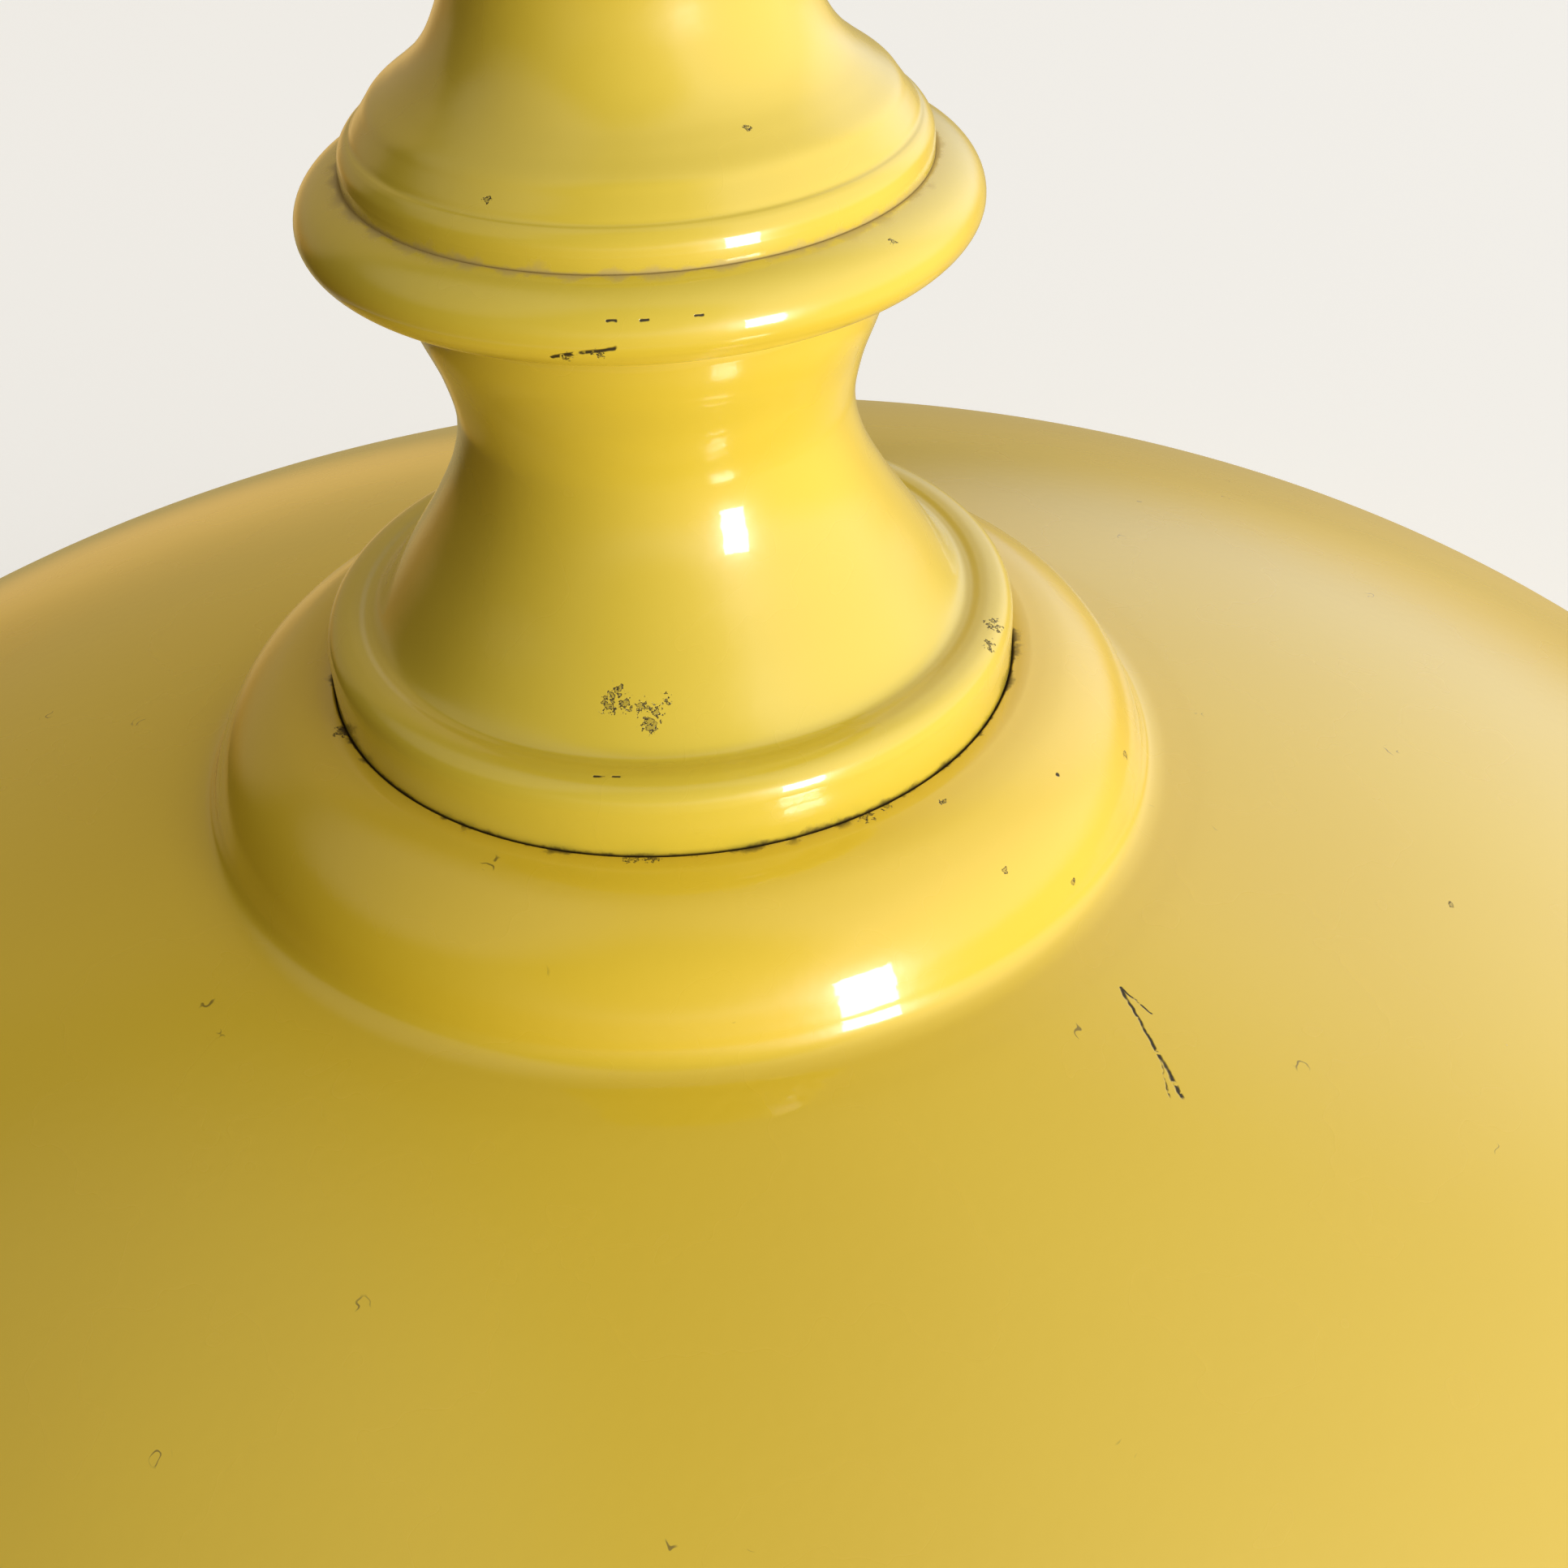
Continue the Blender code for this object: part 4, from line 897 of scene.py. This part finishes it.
class PENDANT_OT_gland(bpy.types.Operator):
    """Mould the cord gland and put in its pinch screw"""

    bl_idname = "pendant.gland"
    bl_label = "Cord gland"
    bl_options = UNDOABLE

    def execute(self, context):
        low, high = span("cord_gland")
        ledge = frame_radius("cord_gland") / MM
        body = ledge - 1.4
        bore = frame_radius("stem") / MM - STEM_WALL
        seat = low + 8.5
        dome = arc((body - 1.6, high - 1.6), (1.6, 1.6), 0, 90, 12)
        outer = rounded_open([(STEM_HOLE, low), (ledge, low), (ledge, low + 2.6), (body + 0.5, low + 2.6),
                              (body, low + 3.3)], 0.4)
        mouth = rounded_open([(bore + 0.7, high), (bore, high - 0.9), (bore, seat), (STEM_HOLE, seat)], 0.3)
        profile = np.vstack([outer, dome, mouth])
        look = finish()
        nylon = moulded("nylon", look.nylon, 0.42, tuple(0.86 * c for c in look.nylon), subsurface=0.25)

        def grip(radius, height, turn):
            """Moulded ribs round the ledge: the radius dips by the sixth power of |cos(12 a)|."""
            share_ = np.clip((radius - body - 0.8) / 0.3, 0, 1) * np.clip((height - low - 0.2) / 0.4, 0, 1)
            return radius - 0.3 * share_ * np.abs(np.cos(12 * turn)) ** 6, height

        made = turned("gland", profile, 192, nylon, "cord_gland", grip)
        level = 0.5 * (seat + high)
        low_x, high_x = (corner.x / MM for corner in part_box("pinch_screw"))
        radius = 1.3
        hole, sides = lathe([(0, 0), (radius + 0.3, 0), (radius + 0.3, 2 * body), (0, 2 * body)], 48)
        cut(made, along_x(level)(hole), sides)
        line = screw(radius, 2.2, low_x, body + 0.3, high_x)
        points, faces = lathe(line, 48)
        pinch = add_piece("pinch_screw_cut", along_x(level)(points), faces, [stem_metal()], "pinch_screw",
                          closed=True)
        cut(pinch, *slab((high_x - 0.8, -0.3, level - 3), (high_x + 1, 0.3, level + 3)))
        return DONE


# ---------------------------------------------------------------- lampholder


def holder_plastic():
    tint = finish().bakelite
    return moulded("white_bakelite", tint, 0.22, tuple(k * c for k, c in zip((0.9, 0.87, 0.78), tint)),
                   relief=0.05, coat=0.3)


class PENDANT_OT_holder(bpy.types.Operator):
    """Mould the two shells of the lampholder and the ring that clamps the shade to them"""

    bl_idname = "pendant.holder"
    bl_label = "Lampholder shells"
    bl_options = UNDOABLE

    def execute(self, context):
        plastic = holder_plastic()
        bottom, top = span("holder_cap")
        body = frame_radius("holder_cap") / MM
        bore, boss, shoulder = body - 2.2, STEM_HOLE + 2.7, top - 8.0
        outer = curve([(body, shoulder - 8.0), (body - 0.15, shoulder - 4.0), (body - 0.9, shoulder - 0.4),
                       (body - 3.2, shoulder + 3.4), (boss + 3.4, shoulder + 5.7),
                       (boss + 1.0, shoulder + 7.4), (boss + 0.1, shoulder + 10.6)], 8)[8:]
        profile = np.vstack([
            rounded_open([(bore, bottom + 3), (bore, bottom), (body, bottom), (body, shoulder - 5)], 0.4),
            outer,
            rounded_open([(boss, top - 3), (boss, top), (STEM_HOLE, top), (STEM_HOLE, shoulder + 2)], 0.5),
            curve([(STEM_HOLE + 0.6, shoulder - 2.2), (boss + 2.0, shoulder - 2.2),
                   (bore - 1.4, shoulder - 5.0), (bore, shoulder - 8.0)], 6)])
        turned("holder_top", profile, 192, plastic, "holder_cap",
               ribs(36, 0.35, body - 0.5, bottom + 1.0, shoulder - 5.2))

        mouth, rim = span("holder_skirt")
        collar = frame_radius("holder_skirt") / MM
        inside = frame_radius("contact_sleeve") / MM + 0.3
        thread = inside + 5.1
        root = thread - 0.7
        wall = spaced([(root, mouth + 1.4), (root, -1.9)], 0.25)
        profile = np.vstack([
            rounded_open([(inside, mouth + 3), (inside, mouth), (root - 0.3, mouth),
                          (root, mouth + 0.9)], 0.5),
            wall, rounded_open([(root, -1.3), (collar, -1.3), (collar, 2.7), (body, 2.7), (body, rim),
                                (bore, rim), (bore, 2.4), (inside, 2.4)], 0.35)])
        turned("holder_bottom", profile, 192, plastic, "holder_skirt",
               ridge(mouth + 1.4, -1.9, 2.5, 0.7), np.abs(profile[:, 0] - root) < 0.01)

        low, high = span("clamp_ring")
        ledge = frame_radius("clamp_ring") / MM
        body, bore = ledge - 3.6, thread + 0.3
        profile = rounded([(bore, low), (body - 0.6, low), (body, low + 0.8), (body, high - 2.4),
                           (ledge, high - 2.4), (ledge, high), (bore, high)], 0.35)
        profile = spaced(np.vstack([profile, profile[:1]]), 0.4)[:-1]
        turned("shade_ring", profile, 240, plastic, "clamp_ring",
               ribs(30, 0.7, body - 0.9, low + 0.6, high - 2.7))
        return DONE


def ribs(count, depth, over, low, high):
    """A shaper for lathe(): upright grip ribs. Where the radius is over a limit and the height
    between two levels, it sinks by depth times the fourth power of |sin(count * angle / 2)|."""

    def shape(radius, height, turn):
        inside = (radius > over) & (radius < over + 3.0)
        share_ = inside * np.clip(np.minimum(height - low, high - height) / 0.4, 0, 1)
        return radius - depth * share_ * (1 - np.abs(np.sin(0.5 * count * turn)) ** 4), height

    return shape


def brass():
    return metal("brass", finish().brass, 0.24, (0.30, 0.19, 0.08), 0.45)


class PENDANT_OT_contacts(bpy.types.Operator):
    """Make the porcelain insert, its terminals, the threaded sleeve and the sprung contact"""

    bl_idname = "pendant.contacts"
    bl_label = "Insert and contacts"
    bl_options = UNDOABLE

    def execute(self, context):
        look, yellow = finish(), brass()
        low, high = span("holder_insert")
        edge = frame_radius("holder_insert") / MM
        porcelain = moulded("porcelain", look.porcelain, 0.12, tuple(0.93 * c for c in look.porcelain),
                            relief=0.03, coat=0.6)
        profile = np.vstack([[(0, low)], rounded_open([(3, low), (edge, low), (edge, high), (3, high)], 0.8),
                             [(0, high)]])
        turned("insert", profile, 96, porcelain, "holder_insert")
        for side in ("live", "neutral"):
            self.terminal(side, yellow)

        bottom, top = span("contact_sleeve")
        outer = frame_radius("contact_sleeve") / MM
        inner = outer - 0.9
        wall = spaced([(inner, top), (inner, bottom)], 0.2)
        profile = np.vstack([[(outer, bottom), (outer, top)], wall])
        depth = sizes().thread_depth / MM
        turned("sleeve", profile, 120, yellow, "contact_sleeve",
               ridge(bottom, top, PITCH, -depth, 0.25), np.abs(profile[:, 0] - inner) < 0.01)
        self.tongue(yellow)
        return DONE

    def terminal(self, side, yellow):
        """A block whose outline is |x / a|^8 + |y / b|^8 = 1, with a round hole, and its screw."""
        node = "terminal_" + side
        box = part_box(node)
        low, high = span(node)
        middle = 0.5 * (box[0].x + box[1].x) / MM
        half = ((box[1].x - box[0].x) / 2 / MM, (box[1].y - box[0].y) / 2 / MM)
        hole, floor_ = 1.9, low + 0.35 * (high - low)

        def block(radius, height, turn):
            reach = (np.abs(np.cos(turn) / half[0]) ** 8 + np.abs(np.sin(turn) / half[1]) ** 8) ** -0.125
            return radius * reach, height

        profile = np.array([(0, low), (0.96, low), (1, low + 0.3), (1, high - 0.3), (0.96, high),
                            (hole + 0.3, high), (hole, high - 0.3), (hole, floor_), (0, floor_)])
        where = np.arange(len(profile)) < 5
        points, faces = lathe(profile, 96, block, where)
        add_piece(node + "_block", points + np.array([middle, 0, 0]), faces, [yellow], node,
                  closed=True)
        screw_low, screw_top = span("terminal_screw_" + side)
        points, faces = lathe(screw(1.6, 2.7, screw_low, screw_top - 1.8, screw_top), 64)
        made = add_piece("terminal_screw_%s_cut" % side, points + np.array([middle, 0, 0]), faces, [yellow],
                         "terminal_screw_" + side, closed=True)
        cut(made, *slab((middle - 4, -0.35, screw_top - 0.9), (middle + 4, 0.35, screw_top + 1)))

    def tongue(self, yellow):
        """A strip swept along a bent line in the XZ plane: the line's points plus the rounded
        section turned to stand square to it, with both ends closed."""
        low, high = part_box("centre_contact")
        thick, start, end = 0.6, low.x / MM, high.x / MM
        top = (high.z - SEAT) / MM - thick
        contact = (low.z - SEAT) / MM
        reach = -(start + 2.4)
        line = curve([(start, top), (start + 1.4, top), (-reach, top - 0.02),
                      (-0.55 * reach, top - 0.55 * (top - contact)), (-0.15 * reach, contact + 0.03),
                      (0.15 * reach, contact + 0.02), (end, contact + 0.8)], 12)
        line[:, 1] += 0.5 * thick
        section = rounded([(-2.5, -0.3), (2.5, -0.3), (2.5, 0.3), (-2.5, 0.3)], 0.14, 3)
        way = np.gradient(line, axis=0)
        way /= np.linalg.norm(way, axis=1, keepdims=True)
        up = np.stack([-way[:, 1], way[:, 0]], 1)
        spot = line[:, None, :] + section[None, :, 1:2] * up[:, None, :]
        across = np.broadcast_to(section[None, :, 0], spot.shape[:2])
        points = np.stack([spot[..., 0], across, spot[..., 1]], -1)
        rows, count = points.shape[:2]
        i, j = np.meshgrid(np.arange(rows - 1), np.arange(count), indexing="ij")
        k = (j + 1) % count
        faces = np.stack([i * count + j, i * count + k, (i + 1) * count + k, (i + 1) * count + j], -1)
        ends = [list(range(count))[::-1], list(range((rows - 1) * count, rows * count))]
        add_piece("contact_tongue", points.reshape(-1, 3), faces.reshape(-1, 4).tolist() + ends, [yellow],
                  "centre_contact", closed=True)


# ---------------------------------------------------------------- bulb


class PENDANT_OT_bulb(bpy.types.Operator):
    """Blow the opal bulb and press its cap, insulator and tip"""

    bl_idname = "pendant.bulb"
    bl_label = "Bulb"
    bl_options = UNDOABLE

    def execute(self, context):
        look, s = finish(), sizes()
        low, high = span("bulb_cap")
        crest = frame_radius("bulb_cap") / MM - 0.2
        depth = s.thread_depth / MM
        root = crest - depth
        inner = root - 0.5
        thread_low = low + 2.6
        wall = spaced([(root, thread_low), (root, high)], 0.2)
        roll = [(inner, low), (crest - 0.1, low), (crest + 0.2, low + 0.15), (crest + 0.1, low + 0.5),
                (root + 0.6, low + 1.4), (root + 0.1, low + 2.2)]
        profile = np.vstack([roll, wall, [(inner, high)]])
        nickel = metal("nickel", look.nickel, 0.2, (0.36, 0.34, 0.30))
        turned("bulb_thread", profile, 120, nickel, "bulb_cap",
               ridge(thread_low, high, PITCH, depth, 0.25), np.abs(profile[:, 0] - root) < 0.01)

        bottom, top = span("bulb_insulator")
        edge = inner - 0.3
        body = curve([(edge, bottom + 2.2), (edge - 1.8, bottom + 2.9), (7.2, top - 0.55), (5.6, top)], 8)
        profile = np.vstack([[(0, bottom), (edge - 0.3, bottom), (edge, bottom + 0.3)], body, [(0, top)]])
        black = moulded("black_glass", look.black_glass, 0.08, (0.04, 0.04, 0.045), relief=0.02, coat=0.7)
        turned("insulator", profile, 96, black, "bulb_insulator")

        bottom, top = span("bulb_tip")
        edge = frame_radius("bulb_tip") / MM
        body = curve([(edge, bottom + 0.6), (edge - 0.5, bottom + 0.95), (0.62 * edge, top - 0.3),
                      (0.3 * edge, top - 0.04), (0, top)], 8)
        profile = np.vstack([[(0, bottom), (edge - 0.2, bottom), (edge, bottom + 0.2)], body])
        turned("tip", profile, 72, nickel, "bulb_tip")
        self.glass(look, inner - 0.3, crest, low - 0.3)
        return DONE

    def glass(self, look, stem, crest, neck):
        """The neck's smooth line runs into a sphere of the bulb's radius."""
        bottom, top = span("bulb_glass")
        radius = sizes().bulb_radius / MM
        middle = bottom + radius
        drop = neck - middle
        flare = curve([(crest - 0.2, neck - 0.4), (crest - 0.1, neck - 0.05 * drop),
                       (crest + 1.0, neck - 0.15 * drop), (0.63 * radius, middle + 0.62 * drop),
                       (0.86 * radius, middle + 0.33 * drop), (0.965 * radius, middle + 0.15 * drop),
                       (radius, middle)], 12)
        ball = arc((0, middle), (radius, radius), 0, -90, 40)[1:]
        outer = np.vstack([[(stem, top), (stem, neck + 0.3)], flare, ball])
        inside = beside(outer, 1.0)[::-1]
        inside[0] = (0.0, bottom + 1.0)
        n = Finish("opal_glass")
        tint = tuple(look.opal)
        cloud = n.ramp(n.noise(70.0, 2.0), 0.3, 0.7)
        n.set(base_color=n.blend(cloud, tint, tuple(0.97 * c for c in tint)), roughness=0.22,
              coat_weight=0.8, coat_roughness=0.04, subsurface_weight=0.6,
              subsurface_radius=(0.01, 0.01, 0.009), subsurface_scale=1.0,
              normal=n.bump(n.noise(300.0, 1.0), 0.03, 0.0002))
        turned("glass", np.vstack([outer, inside]), 128, n.material, "bulb_glass")


# ---------------------------------------------------------------- stage

FLOOR_RADIUS, WINDOW_DISTANCE, WINDOW_SIZE = 30.0, 2.2, (0.5, 0.85)  # in metres
WINDOW_WAY, BRIGHT_WAY, SHADOW_WAY = (38.5, 2.0), (66, 8), (-4, 40)  # as for direction()


class PENDANT_OT_stage(bpy.types.Operator):
    """Set out the floor, the lights and the camera"""

    bl_idname = "pendant.stage"
    bl_label = "Stage"
    bl_options = UNDOABLE

    def execute(self, context):
        stage = bpy.context.scene.pendant_stage
        window(stage, floor(stage))
        room(stage)
        camera(stage)
        bpy.context.scene.view_settings.view_transform = "Standard"
        return DONE


def floor(stage):
    """A large pale disc under the rim, seen only from above, so that views from below pass it."""
    ring = np.linspace(0, 2 * np.pi, 96, endpoint=False)
    level = np.full(ring.shape, FRAME_BOX[0][2] - 0.0005)
    points = np.stack([FLOOR_RADIUS * np.cos(ring), FLOOR_RADIUS * np.sin(ring), level], 1)
    mesh = bpy.data.meshes.new("floor")
    mesh.from_pydata(points, [], [range(96)])
    n = Finish("floor_paint")
    tint = tuple(stage.floor)
    n.set(base_color=n.blend(n.noise(3.0, 3.0), tint, tuple(0.985 * c for c in tint)), roughness=0.7,
          emission_color=tint, emission_strength=0.36)
    n.material.cycles.emission_sampling = "NONE"
    below = n.make("NewGeometry", [], "Backfacing")
    clear = n.make("BsdfTransparent", [])
    seen = n.make("MixShader", [below, n.shader.outputs[0], clear])
    n.join(seen, n.tree.nodes["Material Output"].inputs[0])
    mesh.materials.append(n.material)
    made = bpy.data.objects.new("floor", mesh)
    bpy.context.scene.collection.objects.link(made)
    made.visible_glossy = made.visible_diffuse = made.visible_shadow = False
    return made


def direction(side, up):
    """A unit vector, side degrees to the right of the front and up degrees above the floor."""
    side, up = math.radians(side), math.radians(up)
    return Vector((math.sin(side) * math.cos(up), -math.cos(side) * math.cos(up), math.sin(up)))


def window(stage, ground):
    """A rectangular soft light in front on the right, kept off the floor, which it would meet."""
    data = bpy.data.lights.new("window", "AREA")
    data.shape = "RECTANGLE"
    data.size, data.size_y = WINDOW_SIZE
    data.energy = stage.window
    data.color = (1.0, 0.98, 0.95)
    made = bpy.data.objects.new("window", data)
    way = direction(*WINDOW_WAY)
    made.location = way * WINDOW_DISTANCE + Vector((0, 0, SEAT))
    made.rotation_euler = way.to_track_quat("Z", "Y").to_euler()
    made.visible_camera = False
    unlit = bpy.data.collections.new("kept_from_window")
    unlit.objects.link(ground)
    unlit.collection_objects[0].light_linking.link_state = "EXCLUDE"
    made.light_linking.receiver_collection = unlit
    bpy.context.scene.collection.objects.link(made)


def room(stage):
    """The room's walls and ceiling: brightness rises with the cosine of the angle to the bright
    side. There is a pale wall behind on the right, a tan one behind on the left, a pale patch high
    on the left, a dim one where an onlooker would stand, and less light from below."""
    world = bpy.data.worlds.new("room")
    world.use_nodes = True
    n = Tree(world.node_tree)
    way = n.make("TexCoord", [], "Generated")

    def towards(side, up, low, high, smooth=True):
        """0 to 1 as the cosine of the angle to a direction goes from low to high."""
        near = n.vector("DOT_PRODUCT", way, direction(side, up), output="Value")
        return n.ramp(near, low, high, smooth=smooth)

    def patch(side, up, low, high, tint):
        """A colour that shows round one direction."""
        made = n.vector("SCALE", tint)
        n.join(towards(side, up, low, high), made.node.inputs["Scale"])
        return made

    def add(first, *others):
        for other in others:
            first = n.vector("ADD", first, other)
        return first

    rise = n.math("POWER", towards(*BRIGHT_WAY, -0.72, 0.78, False), 2.1)
    bright = tuple(stage.bright_level * c for c in stage.bright)
    walls = n.blend(rise, tuple(stage.dim), bright)
    shadowed = n.vector("MULTIPLY", walls, (0.42, 0.40, 0.36))
    walls = n.blend(towards(*SHADOW_WAY, 0.78, 0.94), walls, shadowed)
    walls = add(walls, patch(-82, 50, 0.80, 0.95, (0.36, 0.345, 0.315)),
                patch(148, 24, 0.80, 0.97, (0.72, 0.72, 0.74)),
                patch(-152, 14, 0.80, 0.90, (0.40, 0.285, 0.155)))
    height = n.make("SeparateXYZ", [way], "Z")
    ground = add(n.vector("MULTIPLY", walls, (1.0, 0.74, 0.40)),
                 patch(180, -22, 0.72, 0.92, (0.36, 0.29, 0.13)))
    lit = n.blend(n.ramp(height, -0.16, 0.10), ground, walls)
    lit = n.blend(n.ramp(height, -0.80, -0.45), (0.66, 0.65, 0.62), lit)
    seen = n.make("LightPath", [], "Is Camera Ray")
    n.join(n.blend(seen, lit, (0.87, 0.86, 0.84)), n.tree.nodes["Background"].inputs["Color"])
    bpy.context.scene.world = world


def camera(stage):
    """The camera looks at a point beside and below the seat, from the front and above."""
    data = bpy.data.cameras.new("camera")
    data.lens, data.sensor_width = stage.lens, 36.0
    data.clip_start = 0.01
    made = bpy.data.objects.new("camera", data)
    back = direction(0.0, math.degrees(stage.camera_height))
    side = Vector((1, 0, 0))
    up = back.cross(side)
    roll = stage.camera_roll
    right = side * math.cos(roll) + up * math.sin(roll)
    up = up * math.cos(roll) - side * math.sin(roll)
    aim = Vector((stage.camera_aim_side, 0, SEAT - stage.camera_aim_drop))
    turn = Matrix((right, up, back)).transposed().to_4x4()
    made.matrix_world = Matrix.Translation(aim + back * stage.camera_distance) @ turn
    bpy.context.scene.collection.objects.link(made)
    bpy.context.scene.camera = made


# ---------------------------------------------------------------- panel and registration

MAKERS = (PENDANT_OT_shade, PENDANT_OT_spool, PENDANT_OT_ring, PENDANT_OT_bell, PENDANT_OT_cap,
          PENDANT_OT_stem, PENDANT_OT_nuts, PENDANT_OT_gland, PENDANT_OT_holder, PENDANT_OT_contacts,
          PENDANT_OT_bulb, PENDANT_OT_stage)
GROUPS = {"pendant_sizes": PendantSizes, "pendant_finish": PendantFinish, "pendant_stage": PendantStage}


class PENDANT_PT_panel(bpy.types.Panel):
    """Sizes, colours and the pieces to make"""

    bl_idname = "PENDANT_PT_panel"
    bl_label = "Pendant Lamp"
    bl_space_type = "VIEW_3D"
    bl_region_type = "UI"
    bl_category = "Pendant Lamp"

    def draw(self, context):
        for name, group in GROUPS.items():
            box = self.layout.box()
            for key in group.__annotations__:
                box.prop(getattr(context.scene, name), key)
        for maker in MAKERS:
            self.layout.operator(maker.bl_idname)


def register():
    for kind in (*GROUPS.values(), *MAKERS, PENDANT_PT_panel):
        bpy.utils.register_class(kind)
    for name, group in GROUPS.items():
        setattr(bpy.types.Scene, name, PointerProperty(type=group))


def unregister():
    for name in GROUPS:
        delattr(bpy.types.Scene, name)
    for kind in (PENDANT_PT_panel, *reversed(MAKERS), *reversed(list(GROUPS.values()))):
        bpy.utils.unregister_class(kind)


def main():
    register()
    for maker in MAKERS:
        group, name = maker.bl_idname.split(".")
        getattr(getattr(bpy.ops, group), name)()


if __name__ == "__main__":
    main()
